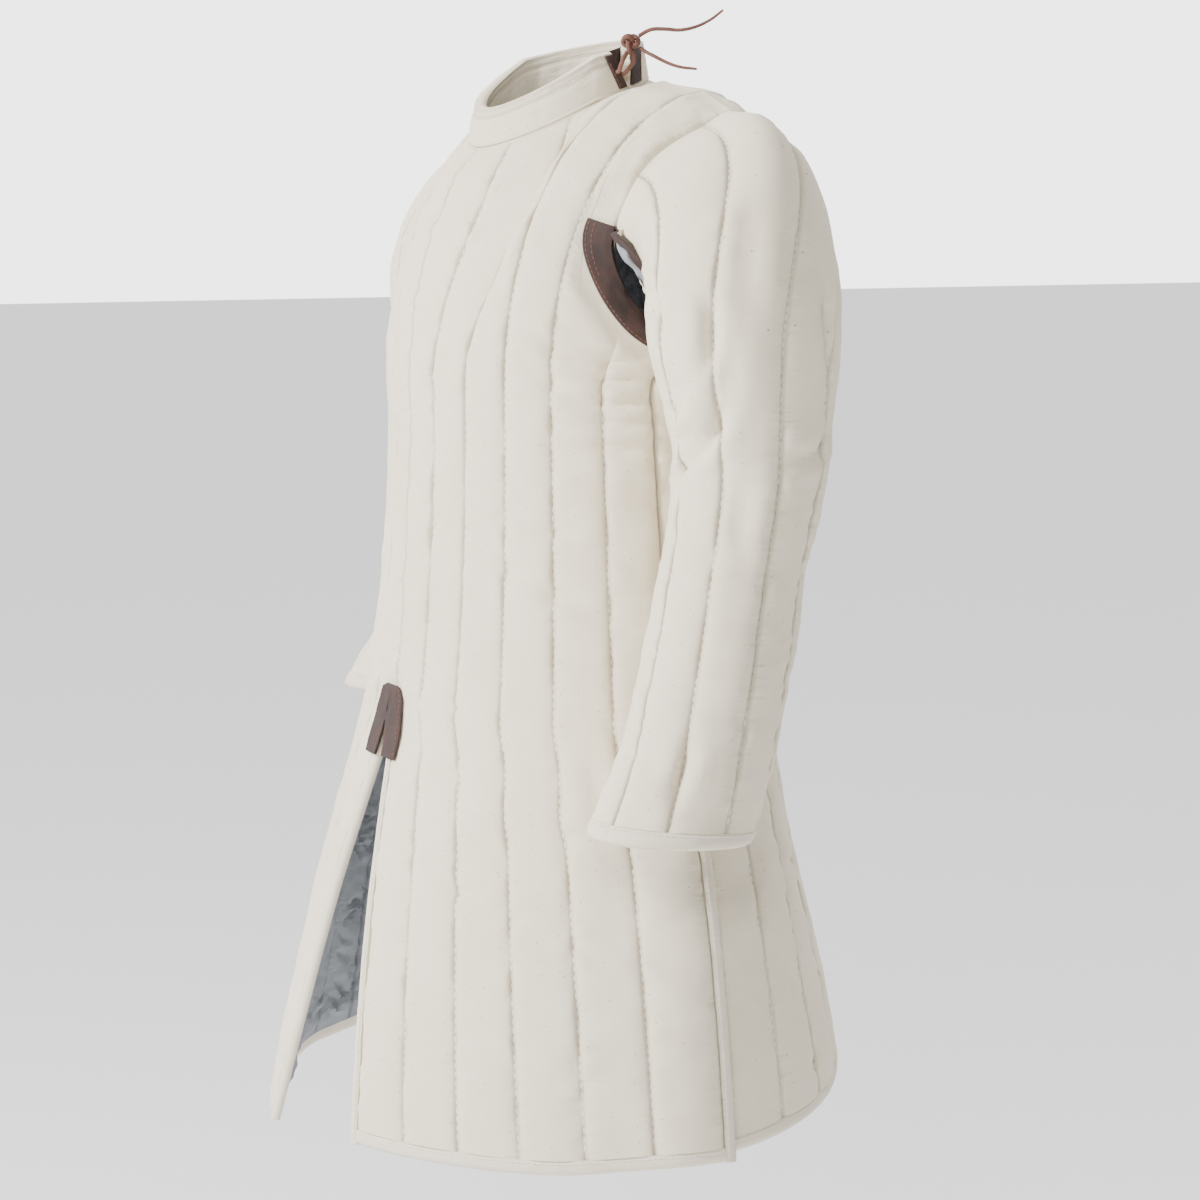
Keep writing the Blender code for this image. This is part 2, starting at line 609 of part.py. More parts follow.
def sleeve(left, grid):
    """A quilted sleeve, open at the armpit and the cuff, and the strip round its cuff."""
    points, normals, rise = grid
    places, _, columns = channel_columns(SLEEVE_CHANNELS, 2)
    mesh = bmesh.new()
    outer = add_grid(mesh, to_side(points + normals * rise[:, :, None], left))
    inner = add_grid(mesh, to_side((points - normals * SEAM_WALL)[:, columns], left))
    outer, inner = ([row + row[:1] for row in rows] for rows in (outer, inner))
    for rows in (outer, inner):
        skin(mesh, rows)
    for row in (0, -1):
        edge_fan(mesh, outer[row], inner[row], columns + [len(places)])
    side = "left" if left else "right"
    finish(mesh, f"sleeve_{side}", CREAM, 0.9)
    cuff = [(sleeve_point(left, place, CUFF_Z + HEM_STRIP), sleeve_point(left, place, CUFF_Z),
             normals[-1, k]) for k, place in enumerate(places)]
    bead(f"cuff_strip_{side}", cuff, left, True)


def collar_point(t, degrees, out):
    """A point of the collar's wall: t up it, degrees round it, out from its outer face."""
    base = ring_point(NECK_RING, NECK_HEIGHT, degrees) + np.array((0.0, 0.0, COLLAR_GAP))
    top = ring_point(COLLAR_RING, COLLAR_HEIGHT, degrees)
    a = radians(degrees)
    flat = unit((sin(a) / NECK_RING[0], -cos(a) / NECK_RING[1], 0.0))
    return base + (top - base) * t + flat * out


def worn(point):
    """A collar point on its own side of the worn garment."""
    return to_side(point * np.array((np.sign(point[0]) or 1.0, 1.0, 1.0)), point[0] >= 0)


def sheet_solid(name, lower, upper, colour, roughness):
    """A closed solid between two grids of points that face each other."""
    mesh = bmesh.new()
    lower, upper = add_grid(mesh, lower), add_grid(mesh, upper)
    for grid in (lower, upper):
        skin(mesh, grid)
    side_wall(mesh, upper, lower, 0)
    side_wall(mesh, upper, lower, -1)
    for row in (0, -1):
        for k in range(len(lower[0]) - 1):
            mesh.faces.new((upper[row][k], upper[row][k + 1], lower[row][k + 1], lower[row][k]))
    return finish(mesh, name, colour, roughness)


def collar():
    """The standing collar, from the back edge of its notch round to the front edge."""
    outer, inner = [], []
    for t, swell in COLLAR_ROWS:
        start = NOTCH_BACK[0] + (NOTCH_BACK[1] - NOTCH_BACK[0]) * t
        stop = 360.0 + NOTCH_FRONT[0] + (NOTCH_FRONT[1] - NOTCH_FRONT[0]) * t
        around = np.linspace(start, stop, COLLAR_STEPS + 1)
        outer.append([worn(collar_point(t, d, swell)) for d in around])
        inner.append([worn(collar_point(t, d, -COLLAR_WALL - swell)) for d in around])
    sheet_solid("collar", inner, outer, CREAM, 0.9)


def notch_leather():
    """Leather on both edges of the collar's notch, and the underlap behind it."""
    spans = {"collar_facing_front": (NOTCH_FRONT, -NOTCH_FACING[0], -0.6),
             "collar_facing_back": (NOTCH_BACK, 0.6, NOTCH_FACING[1])}
    for name, (edge, first, last) in spans.items():
        sheets = []
        for out in (0.0018, 0.0018 + LEATHER):
            sheets.append([[worn(collar_point(t, edge[0] + (edge[1] - edge[0]) * t + d, out))
                            for d in np.linspace(first, last, 4)] for t in (0.06, 0.35, 0.65, 0.93)])
        sheet_solid(name, *sheets, LEATHER_BROWN, 0.6)
    sheets = [[[worn(collar_point(t, d, -COLLAR_WALL - out)) for d in np.linspace(*UNDERLAP, 8)]
               for t in (0.04, 0.35, 0.65, 0.97)] for out in (0.0016 + LEATHER, 0.0016)]
    sheet_solid("collar_underlap", *sheets, LEATHER_BROWN, 0.6)


def rim_facing(name, pieces, rim, ways):
    """Leather laid on the outer faces of pieces, from a rim of points towards the given ways."""
    trees = [BVHTree.FromObject(made, bpy.context.evaluated_depsgraph_get()) for made in pieces]
    points, directions = [], []
    for start, way, along in zip(rim, ways, np.gradient(rim, axis=0)):
        point, way, done = start, unit(way), 0.0
        row, row_out = [], []
        for width in FACING_ROWS:
            target = Vector(point + way * (width - done))
            spot, normal, _, _ = min((tree.find_nearest(target) for tree in trees),
                                     key=lambda hit: hit[3])
            if not row:
                across = unit(np.cross(along, normal))
                way = across * np.sign(np.dot(across, way))
            point, normal, done = np.array(spot), np.array(normal), width
            way = unit(way - normal * np.dot(way, normal))
            row.append(point)
            row_out.append(normal)
        points.append(row)
        directions.append(row_out)
    points, directions = np.array(points), np.array(directions)
    for _ in range(2):
        padded = np.concatenate((directions[:1], directions, directions[-1:]))
        directions = (padded[:-2] + padded[1:-1] + padded[2:]) / 3
        padded = np.concatenate((directions[:, :1], directions, directions[:, -1:]), axis=1)
        directions = (padded[:, :-2] + padded[:, 1:-1] + padded[:, 2:]) / 3
    directions /= np.linalg.norm(directions, axis=2, keepdims=True)
    sheet_solid(name, points + directions * LEATHER_LIFT,
                points + directions * (LEATHER_LIFT + LEATHER), LEATHER_BROWN, 0.6)


def armpit_facing(left, panels):
    """Leather round the body's edge of an armpit opening."""
    side = "left" if left else "right"
    middle = to_side((0.175, ARMHOLE_CENTRE[0], ARMHOLE_CENTRE[1]), left)
    rim = to_side([armhole(float(p)) for p in np.linspace(*FACING_PLACES, FACING_STEPS)], left)
    rim_facing(f"armpit_facing_{side}", panels, rim, rim - middle)


def slit_arch():
    """The upside-down V of leather over the top of the front slit."""
    stations = []
    angles = np.radians(np.linspace(0.0, 180.0, 11))
    for left, heights in ((True, (ARCH_FOOT_Z, -0.548)), (False, (-0.548, ARCH_FOOT_Z))):
        legs = []
        for z in heights:
            slit = body_edges(False, left, z)[0]
            legs.append((slit + ARCH_INNER_HALF * 0.4, z, slit + ARCH_HALF, z, left))
        top = [(ARCH_INNER_HALF * abs(cos(a)), ARCH_MIDDLE_Z + ARCH_INNER_TOP * sin(a),
                ARCH_HALF * abs(cos(a)), ARCH_MIDDLE_Z + ARCH_TOP * sin(a), cos(a) >= 0)
               for a in angles]
        stations += legs + top if left else legs
    lower, upper = [], []
    for x0, z0, x1, z1, left in stations:
        rows = ([], [])
        for share in (0.0, 0.35, 0.7, 1.0):
            x, z = x0 + (x1 - x0) * share, z0 + (z1 - z0) * share
            point = body_point(False, left, x, z, 0.0)
            for row, lift in zip(rows, (ARCH_LIFT, ARCH_LIFT + LEATHER)):
                row.append(to_side(point + np.array((0.0, -0.97, 0.24)) * lift, left))
        lower.append(rows[0])
        upper.append(rows[1])
    sheet_solid("slit_arch", lower, upper, LEATHER_BROWN, 0.6)


def cord(name, route):
    """A round leather thong along a smooth curve through its route."""
    route = np.array(route)
    slopes = np.gradient(route, axis=0)
    path = [hermite(route[i], slopes[i], route[i + 1], slopes[i + 1], t)
            for i in range(len(route) - 1) for t in (0.0, 0.5)] + [route[-1]]
    curve = bpy.data.curves.new(name, "CURVE")
    curve.dimensions = "3D"
    curve.bevel_depth = THONG_RADIUS
    curve.bevel_resolution = 2
    curve.use_fill_caps = True
    spline = curve.splines.new("POLY")
    spline.points.add(len(path) - 1)
    for knot, place in zip(spline.points, path):
        knot.co = (*place, 1.0)
    curve.materials.append(material(name, THONG_BROWN, 0.7))
    made = bpy.data.objects.new(name, curve)
    bpy.context.scene.collection.objects.link(made)


def thong():
    """The tied thong: its knot, the two strands that rise to it and its two free ends."""
    mesh = bmesh.new()
    bmesh.ops.create_icosphere(mesh, subdivisions=2, radius=1.0)
    bmesh.ops.scale(mesh, vec=KNOT_SIZE, verts=mesh.verts)
    bmesh.ops.translate(mesh, vec=KNOT_MIDDLE, verts=mesh.verts)
    finish(mesh, "thong_knot", THONG_BROWN, 0.7)
    for name, route in (("thong_strand_front", STRAND_FRONT), ("thong_strand_back", STRAND_BACK),
                        ("thong_end_upper", END_UPPER), ("thong_end_lower", END_LOWER)):
        cord(name, route)


def main():
    """Make every sub-part."""
    panels = []
    for name, behind in (("front", False), ("back", True)):
        halves = {left: half_panel(behind, left) for left in (True, False)}
        panels.append(panel(name, behind, halves))
        for left, grid in halves.items():
            panel_strips(behind, left, grid)
    for left in (True, False):
        grid = sleeve_grid(left)
        sleeve(left, sleeve_grid(left))
        armpit_facing(left, panels)
    slit_arch()
    collar()
    notch_leather()
    thong()


main()
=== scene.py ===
"""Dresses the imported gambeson: quilted canvas, wrinkled lining, stitches, leather, tied thong.

Metres, +Z up. The front faces -Y and the wearer's left is +X. The shapes come from the same
sections and seams as the solids, with finer points. Both halves are worked out in the left-hand
form, and to_side turns the points of the right half over.
"""
from math import atan, cos, pi, radians, sin

import bmesh
import bpy
import numpy as np
from mathutils import Matrix, Vector
from mathutils.bvhtree import BVHTree


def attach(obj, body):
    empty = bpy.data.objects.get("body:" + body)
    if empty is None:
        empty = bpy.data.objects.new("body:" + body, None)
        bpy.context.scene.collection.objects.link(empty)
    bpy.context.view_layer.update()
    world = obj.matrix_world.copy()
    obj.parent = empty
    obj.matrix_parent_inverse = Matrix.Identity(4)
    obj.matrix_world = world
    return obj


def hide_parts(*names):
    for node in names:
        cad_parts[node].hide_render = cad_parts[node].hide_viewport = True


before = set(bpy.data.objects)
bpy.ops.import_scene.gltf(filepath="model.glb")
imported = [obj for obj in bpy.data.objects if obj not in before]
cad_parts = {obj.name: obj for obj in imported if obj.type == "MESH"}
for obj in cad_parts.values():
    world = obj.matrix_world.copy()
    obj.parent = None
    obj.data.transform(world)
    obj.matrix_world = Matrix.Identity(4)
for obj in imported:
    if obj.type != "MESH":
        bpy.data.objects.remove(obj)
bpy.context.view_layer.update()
bpy.ops.object.select_all(action="DESELECT")

# Wall and quilting: as in the solids, but for a higher channel and leather that lies closer
SEAM_GAP = 0.0006
SEAM_WALL = 0.005
CHANNEL_RISE = 0.0055
LEATHER = 0.0018
LEATHER_LIFT = 0.0010
HALF_CHANNELS = 6
SLEEVE_CHANNELS = 8
LAST_DRAWN = 4

CHEST_Z = -0.235
SLIT_TOP_Z = -0.520
VENT_TOP_Z = -0.560
HEM_Z = -0.880
HEM_STRIP = 0.012
EDGE_STRIP = 0.010
STRIP_GROWTH = 0.040
BACK_HEM_RISE = (0.013, 0.048)
FRONT_HEM_RISE = 0.010
RIGHT_HEM_DROP = 0.024
VENT_LAP = 0.014
VENT_LIFT = 0.0125
BACK_SQUARE = 0.9

# Body sections: height, half width, depth in front, depth behind
BODY_SECTIONS = np.array((
    (-0.235, 0.182, 0.144, 0.136),
    (-0.300, 0.190, 0.145, 0.138),
    (-0.380, 0.202, 0.148, 0.142),
    (-0.460, 0.216, 0.155, 0.150),
    (-0.520, 0.230, 0.163, 0.157),
    (-0.600, 0.252, 0.184, 0.170),
    (-0.680, 0.274, 0.207, 0.182),
    (-0.780, 0.295, 0.234, 0.201),
    (-0.880, 0.310, 0.259, 0.221),
))
# Half width of the slits: height, left edge in front, right edge in front, each edge behind
SLIT_SECTIONS = np.array((
    (-0.520, 0.0006, 0.0006, 0.0006),
    (-0.560, 0.010, 0.009, 0.002),
    (-0.680, 0.044, 0.040, 0.004),
    (-0.780, 0.074, 0.060, 0.006),
    (-0.880, 0.104, 0.080, 0.008),
))
# Neck ring and the collar's top ring: half width, depth in front, depth behind, middle in y
NECK_RING = (0.078, 0.076, 0.076, -0.005)
COLLAR_RING = (0.0735, 0.0725, 0.070, -0.003)
NECK_HEIGHT = (0.003, 0.039, 0.022)
COLLAR_HEIGHT = (0.042, 0.044, 0.016)
SHOULDER_ANGLE = 115.0
NOTCH_FRONT = (115.0, 102.0)
NOTCH_BACK = (116.5, 121.0)
COLLAR_WALL = 0.008
SHOULDER_POINTS = ((0.098, 0.047, 0.020), (0.140, 0.066, 0.012), (0.185, 0.072, -0.005))
SHOULDER_PLACES = (0.0, 0.30, 0.66, 1.0)
# Armhole of the left side, from the shoulder down the front and up the back: x, y, z
ARMHOLE = np.array((
    (0.185, 0.072, -0.005),
    (0.181, 0.049, -0.018),
    (0.177, 0.021, -0.033),
    (0.173, -0.003, -0.054),
    (0.169, -0.020, -0.084),
    (0.166, -0.030, -0.118),
    (0.168, -0.021, -0.152),
    (0.174, 0.000, -0.181),
    (0.180, 0.028, -0.194),
    (0.180, 0.062, -0.187),
    (0.177, 0.089, -0.162),
    (0.173, 0.105, -0.125),
    (0.172, 0.111, -0.084),
    (0.175, 0.107, -0.047),
    (0.181, 0.093, -0.019),
))
ARM_BOTTOM, ARM_COUNT = 8, len(ARMHOLE)
ARMHOLE_CENTRE = (0.040, -0.100)
# Top edge of a half panel: from channel, to channel, seam, place at each end
FRONT_TOP = ((0, 1, "neck", 0, 34), (1, 2, "neck", 34, 73), (2, 2.86, "neck", 73, SHOULDER_ANGLE),
             (2.86, 3, "shoulder", 0, 0.30), (3, 4, "shoulder", 0.30, 0.66),
             (4, 6, "shoulder", 0.66, 1))
BACK_TOP = ((0, 1, "neck", 180, 149), (1, 2, "neck", 149, 120),
            (2, 2.14, "neck", 120, SHOULDER_ANGLE),
            (2.14, 3, "shoulder", 0, 0.30), (3, 4, "shoulder", 0.30, 0.66),
            (4, 6, "shoulder", 0.66, 1))
OPENING_FROM, OPENING_TO, OPENING_EASE = 4.2, 12.0, 1.6
OPENING_DROP = np.array((0.040, 0.0, 0.020))
# Left sleeve sections: height, x and y of the middle, half width across, half depth, turn of seams
SLEEVE_SECTIONS = np.array((
    (-0.215, 0.264, 0.049, 0.060, 0.0750, 5.0),
    (-0.300, 0.276, 0.047, 0.055, 0.0600, 2.0),
    (-0.390, 0.290, 0.022, 0.053, 0.0565, 7.0),
    (-0.470, 0.310, -0.003, 0.054, 0.0585, 10.0),
    (-0.540, 0.328, -0.031, 0.055, 0.0600, 16.0),
    (-0.590, 0.340, -0.057, 0.058, 0.0660, 23.0),
))
CUFF_Z = -0.590
CUFF_TILT = -0.07
FOREARM_HEIGHTS = (-0.30, -0.59)
RIGHT_FOREARM_BACK = 0.042
RIGHT_FOREARM_UP = 0.030
SLEEVE_TOP = np.array(((-1, 4.9), (0, 3.2), (1, 1.05), (2, -0.9), (3, -2.4), (4, -4.0), (5, -5.6),
                       (6, -7.4), (7, -10.1), (8, -11.8)))
FIRST_SEAM_ANGLE = -93.5
SLEEVE_BACKWARD = 0.45
SHOULDER_TURN = 0.15
TURN_SOFTNESS = 0.04
TURN_HEIGHTS = (-0.34, -0.10)
RIM_SHARE = 0.86

# Leather, with its facing a little wider where it turns over the top of the armpit opening
ARMPIT_FACING = 0.020
FACING_PLACES = (4.5, 11.6)
FACING_FLAT = (0.022, 0.040)

# Thong: radius and the routes of its strands and free ends
THONG_RADIUS = 0.0016
KNOT_MIDDLE = (0.0815, 0.0265, 0.0525)
STRAND_FRONT = ((0.0760, 0.0155, 0.0278), (0.0800, 0.0161, 0.0287), (0.0822, 0.0168, 0.0328),
                (0.0832, 0.0188, 0.0390), (0.0823, 0.0228, 0.0450))
STRAND_BACK = ((0.0745, 0.0210, 0.0264), (0.0787, 0.0225, 0.0273), (0.0813, 0.0256, 0.0316),
               (0.0828, 0.0288, 0.0375), (0.0823, 0.0285, 0.0450))
END_UPPER = ((0.0815, 0.0341, 0.0586), (0.0838, 0.0402, 0.0626), (0.0870, 0.0459, 0.0646),
             (0.0910, 0.0564, 0.0645), (0.0950, 0.0668, 0.0638), (0.0990, 0.0792, 0.0664),
             (0.1030, 0.0915, 0.0724), (0.1060, 0.1025, 0.0809))
END_LOWER = ((0.0837, 0.0345, 0.0483), (0.0878, 0.0386, 0.0448), (0.0930, 0.0425, 0.0418),
             (0.1000, 0.0532, 0.0355), (0.1060, 0.0627, 0.0320), (0.1120, 0.0750, 0.0304))

# Fine points across a channel, close together at its seams, and the spacing of rows
CHANNEL_STEPS = (0.0, 0.025, 0.06, 0.12, 0.22, 0.36, 0.5, 0.64, 0.78, 0.88, 0.94, 0.975)
ROW_STEP = 0.0037
# Stitches: pitch, length and radius
QUILTING_STITCH = (0.0074, 0.0046, 0.00072)
BINDING_STITCH = (0.0050, 0.0034, 0.00045)
COLLAR_STITCH = (0.0046, 0.0032, 0.00042)
LEATHER_STITCH = (0.0047, 0.0032, 0.00042)
# Rows of stitches up the collar, as shares of its height, and that height
COLLAR_ROWS = (0.74, 0.90)
COLLAR_TALL = 0.042
# Points closer than this are one, and pieces without seams are this far from any
MERGE = 0.00002
NO_SEAM = 0.05
# Smooth random values that wrinkle the cloth, the same each run
LATTICE = np.random.default_rng(7).random((64, 64)) * 2.0 - 1.0

# Soft creases, listed in millimetres: half width, rise, route over the cloth
CREASE_STRENGTH = 1.4
CREASES = {
    "front": (
        (4.5, -4, ((148, -103, -352), (164, -85, -358), (181, -69, -361))),
        (6.5, -3.6, ((118, -125, -383), (158, -101, -397), (191, -69, -420), (214, -25, -441))),
        (5, -4.2, ((160, -62, -206), (174, -34, -215), (182, -6, -214))),
        (5.5, -4, ((164, -64, -226), (179, -35, -232), (185, 4, -229))),
        (6, -4.2, ((165, -69, -243), (182, -36, -250), (187, 8, -246))),
        (5, -3.4, ((172, -61, -259), (185, -32, -267), (188, 4, -262))),
        (6, -2.8, ((176, -58, -281), (188, -28, -288), (191, 2, -286))),
        (6, -3, ((137, -94, -188), (149, -80, -201), (166, -60, -211))),
        (6, -2.6, ((142, -94, -223), (152, -80, -232), (167, -66, -236))),
        (3, -3.4, ((-16, -162, -500), (-18, -161, -486), (-24, -160, -470))),
        (3, -3.6, ((0, -161, -502), (4, -161, -486), (6, -159, -464))),
        (3, -3.2, ((14, -162, -503), (22, -161, -488), (36, -159, -472))),
        (3.4, -3, ((24, -164, -517), (42, -162, -514), (66, -159, -506))),
        (4, -3.4, ((69, -157, -503), (91, -152, -509), (112, -145, -513))),
        (4.5, -3.6, ((81, -166, -558), (105, -160, -564), (130, -152, -570))),
        (4.5, -3.4, ((54, -189, -621), (76, -188, -628), (96, -183, -636))),
        (6, -3, ((136, -175, -652), (154, -166, -660), (182, -156, -659))),
        (7, -3.4, ((216, -70, -536), (230, -70, -575), (243, -68, -612))),
        (5, -3.6, ((-148, -104, -344), (-166, -85, -352), (-184, -60, -352))),
        (6.5, -3.6, ((-112, -127, -392), (-152, -104, -404), (-190, -68, -431))),
        (5.5, -4, ((-160, -72, -212), (-174, -46, -222), (-184, -10, -219))),
        (5.5, -4, ((-166, -72, -238), (-180, -46, -247), (-187, -8, -243))),
        (5.5, -3.2, ((-172, -66, -268), (-186, -38, -276), (-190, -4, -271))),
        (4, -3.4, ((-64, -168, -556), (-90, -164, -566), (-116, -157, -570))),
        (4.5, -3.4, ((-50, -190, -631), (-80, -188, -638), (-102, -181, -650))),
        (6, -3, ((-150, -166, -668), (-178, -154, -672), (-204, -140, -668))),
    ),
    "back": (
        (6, -4, ((60, 139, -352), (98, 131, -362), (140, 112, -358))),
        (6.5, -3.6, ((20, 146, -402), (78, 139, -410), (120, 124, -424))),
        (6, -3.8, ((-30, 144, -372), (-84, 134, -380), (-136, 112, -372))),
        (6.5, -3.4, ((-60, 143, -430), (-112, 131, -436), (-150, 112, -452))),
        (5.5, -4, ((176, 80, -216), (184, 50, -224), (187, 20, -222))),
        (5.5, -3.8, ((172, 88, -240), (184, 52, -250), (188, 18, -247))),
        (5.5, -4, ((-176, 56, -218), (-184, 26, -227), (-187, 0, -224))),
        (5.5, -3.8, ((-172, 62, -246), (-184, 28, -254), (-188, -2, -250))),
        (3, -3.4, ((2, 156, -505), (8, 154, -486), (18, 152, -462))),
        (3, -3.4, ((-4, 156, -505), (-12, 154, -484), (-16, 152, -466))),
        (6, -3.4, ((150, 146, -640), (184, 132, -652), (212, 114, -652))),
        (6, -3.4, ((-130, 152, -622), (-170, 138, -634), (-200, 120, -632))),
    ),
    "sleeve_left": (
        (6, -5.5, ((298, -8, -150), (302, -4, -170), (305, -3, -195), (306, -9, -221))),
        (7.5, 4.5, ((303, -12, -226), (294, -16, -250), (272, -17, -272))),
        (5.5, -6.2, ((317, 6, -236), (310, 1, -263), (302, -9, -282), (282, -16, -296),
                     (262, -17, -322))),
        (5, -4.5, ((293, -16, -264), (270, -16, -307), (268, -25, -356))),
        (9, -3.8, ((290, 39, -78), (308, 28, -126), (318, 22, -170))),
        (6, -5.5, ((303, 98, -133), (310, 98, -176), (310, 100, -225))),
        (6.5, -3.4, ((315, 13, -182), (317, 7, -210), (317, 6, -236))),
        (8, -3.4, ((329, 19, -295), (332, 10, -335), (342, 7, -374))),
        (6, -3.4, ((213, -25, -120), (255, -30, -160), (275, -28, -196))),
        (6, -3.6, ((364, -46, -505), (373, -58, -530), (378, -72, -556))),
        (6, -5, ((228, 20, -238), (230, 48, -256), (236, 78, -252))),
        (6, -4.6, ((236, 12, -292), (232, 44, -306), (240, 76, -300))),
        (6.5, -4.6, ((300, 100, -262), (318, 82, -284), (328, 52, -290))),
        (6.5, -4, ((262, 84, -330), (290, 80, -346), (316, 66, -342))),
    ),
    "sleeve_right": (
        (6, -5, ((-296, -26, -150), (-302, -20, -180), (-304, -22, -214))),
        (7.5, 4, ((-300, -26, -228), (-288, -30, -252), (-264, -30, -272))),
        (5.5, -5.8, ((-318, 0, -238), (-308, -12, -268), (-282, -24, -294), (-258, -22, -316))),
        (8.5, -3.6, ((-292, 26, -80), (-310, 14, -130), (-318, 8, -176))),
        (6, -5, ((-304, 80, -140), (-312, 82, -184), (-310, 84, -228))),
        (6, -4.4, ((-262, 94, -246), (-292, 90, -268), (-318, 68, -276))),
        (6, -4.6, ((-228, 6, -244), (-230, 34, -258), (-238, 66, -254))),
        (6.5, -4, ((-258, 90, -330), (-286, 88, -346), (-312, 72, -344))),
    ),
}


# Camera and light
def add_camera():
    """The photograph's view: from the wearer's front left, a little above the shoulders."""
    azimuth, distance, height = radians(66.0), 3.3, -0.03
    focal, middle, horizon = 3730.0, 565.0, 140.0
    pitch = atan((600.0 - horizon) / focal)
    right = Vector((cos(azimuth), sin(azimuth), 0.0))
    back = Vector((sin(azimuth) * cos(pitch), -cos(azimuth) * cos(pitch), sin(pitch)))
    data = bpy.data.cameras.new("camera")
    data.sensor_width = 36.0
    data.lens = focal / 1200.0 * 36.0
    data.clip_end = 100.0
    camera = bpy.data.objects.new("camera", data)
    bpy.context.scene.collection.objects.link(camera)
    place = Vector((sin(azimuth) * distance, -cos(azimuth) * distance, height))
    place += right * ((600.0 - middle) / focal * distance)
    turn = Matrix((right, back.cross(right), back)).transposed()
    camera.matrix_world = Matrix.Translation(place) @ turn.to_4x4()
    bpy.context.scene.camera = camera


def add_light(name, place, target, size, energy):
    """A soft square light that faces a point."""
    data = bpy.data.lights.new(name, "AREA")
    data.size = size
    data.energy = energy
    light = bpy.data.objects.new(name, data)
    bpy.context.scene.collection.objects.link(light)
    light.location = place
    light.rotation_euler = (Vector(target) - Vector(place)).to_track_quat("-Z", "Y").to_euler()


def add_studio():
    """A pale floor, a white surround that is brightest behind the garment, and two soft lights."""
    world = bpy.data.worlds.new("studio")
    bpy.context.scene.world = world
    world.use_nodes = True
    tree = world.node_tree
    background = tree.nodes["Background"]
    background.inputs["Color"].default_value = (1.0, 1.0, 1.0, 1.0)
    way = tree.nodes.new("ShaderNodeTexCoord")
    far = tree.nodes.new("ShaderNodeVectorMath")
    far.operation = "DOT_PRODUCT"
    far.inputs[1].default_value = (-0.80, 0.36, 0.48)
    bright = tree.nodes.new("ShaderNodeMapRange")
    bright.interpolation_type = "SMOOTHSTEP"
    for name, value in (("From Min", 0.40), ("From Max", 0.84), ("To Min", 0.22), ("To Max", 3.8)):
        bright.inputs[name].default_value = value
    tree.links.new(way.outputs["Generated"], far.inputs[0])
    tree.links.new(far.outputs["Value"], bright.inputs["Value"])
    tree.links.new(bright.outputs["Result"], background.inputs["Strength"])
    add_light("key", (0.1, -3.6, 1.7), (0.0, 0.0, -0.35), 0.8, 350.0)
    add_light("side", (3.4, -2.2, 1.6), (0.1, 0.0, -0.4), 0.9, 90.0)
    bpy.ops.mesh.primitive_plane_add(size=60.0, location=(0.0, 0.0, -1.5))
    floor = bpy.context.object
    floor.name = "floor"
    floor.select_set(False)
    made = bpy.data.materials.new("floor_white")
    made.use_nodes = True
    shader = made.node_tree.nodes["Principled BSDF"]
    shader.inputs["Base Color"].default_value = (0.90, 0.90, 0.90, 1.0)
    shader.inputs["Roughness"].default_value = 0.9
    floor.data.materials.append(made)


# Shader maths
class Link:
    """A shader socket that Python's operators work on."""

    def __init__(self, paint, socket):
        self.paint, self.socket = paint, socket

    def math(self, operation, *values):
        """A Math node on this socket and other values."""
        inputs = {k: value for k, value in enumerate((self, *values))}
        return self.paint.node("ShaderNodeMath", {"operation": operation}, inputs)

    def __add__(self, other):
        return self.math("ADD", other)

    def __mul__(self, other):
        return self.math("MULTIPLY", other)

    __radd__, __rmul__ = __add__, __mul__


class Paint:
    """A material's node tree."""

    def __init__(self, name, roughness):
        self.material = bpy.data.materials.new(name)
        self.material.use_nodes = True
        self.tree = self.material.node_tree
        self.shader = self.tree.nodes["Principled BSDF"]
        self.shader.inputs["Roughness"].default_value = roughness

    def node(self, kind, settings, inputs, output=0):
        """A node with its settings, then its values and links; gives one of its outputs."""
        made = self.tree.nodes.new(kind)
        for name, value in settings.items():
            setattr(made, name, value)
        for name, value in inputs.items():
            if isinstance(value, Link):
                self.tree.links.new(value.socket, made.inputs[name])
            else:
                made.inputs[name].default_value = value
        return Link(self, made.outputs[output])

    def place(self, scale):
        """The piece's own UV map, in metres, stretched along each axis."""
        return self.node("ShaderNodeVectorMath", {"operation": "MULTIPLY"},
                         {0: self.node("ShaderNodeUVMap", {"uv_map": "cloth"}, {}), 1: scale})

    def solid(self):
        """Object coordinates."""
        return self.node("ShaderNodeTexCoord", {}, {}, "Object")

    def noise(self, vector, scale, detail=3.0, roughness=0.5):
        """Noise from 0 to 1."""
        return self.node("ShaderNodeTexNoise", {}, {"Vector": vector, "Scale": scale,
                                                    "Detail": detail, "Roughness": roughness})

    def attribute(self, name):
        """A number stored on the piece's points."""
        return self.node("ShaderNodeAttribute", {"attribute_name": name}, {}, "Fac")

    def range(self, value, low, high, start=0.0, end=1.0):
        """A smooth step from start to end as a value goes from low to high."""
        return self.node("ShaderNodeMapRange", {"interpolation_type": "SMOOTHSTEP"},
                         {"Value": value, "From Min": low, "From Max": high, "To Min": start,
                          "To Max": end})

    def mix(self, factor, first, second):
        """A colour between two colours."""
        colours = {0: factor, 6: first, 7: second}
        return self.node("ShaderNodeMix", {"data_type": "RGBA"}, colours, 2)

    def colour(self, value):
        """Sets the base colour."""
        self.tree.links.new(value.socket, self.shader.inputs["Base Color"])

    def rough(self, value):
        """Sets the roughness."""
        self.tree.links.new(value.socket, self.shader.inputs["Roughness"])

    def bump(self, height, distance, strength=1.0):
        """Sets the normal from a height."""
        bumped = self.node("ShaderNodeBump", {}, {"Height": height, "Distance": distance,
                                                  "Strength": strength})
        self.tree.links.new(bumped.socket, self.shader.inputs["Normal"])


def darker(colour, share):
    """A colour turned down to a share of itself."""
    return (*[value * share for value in colour], 1.0)


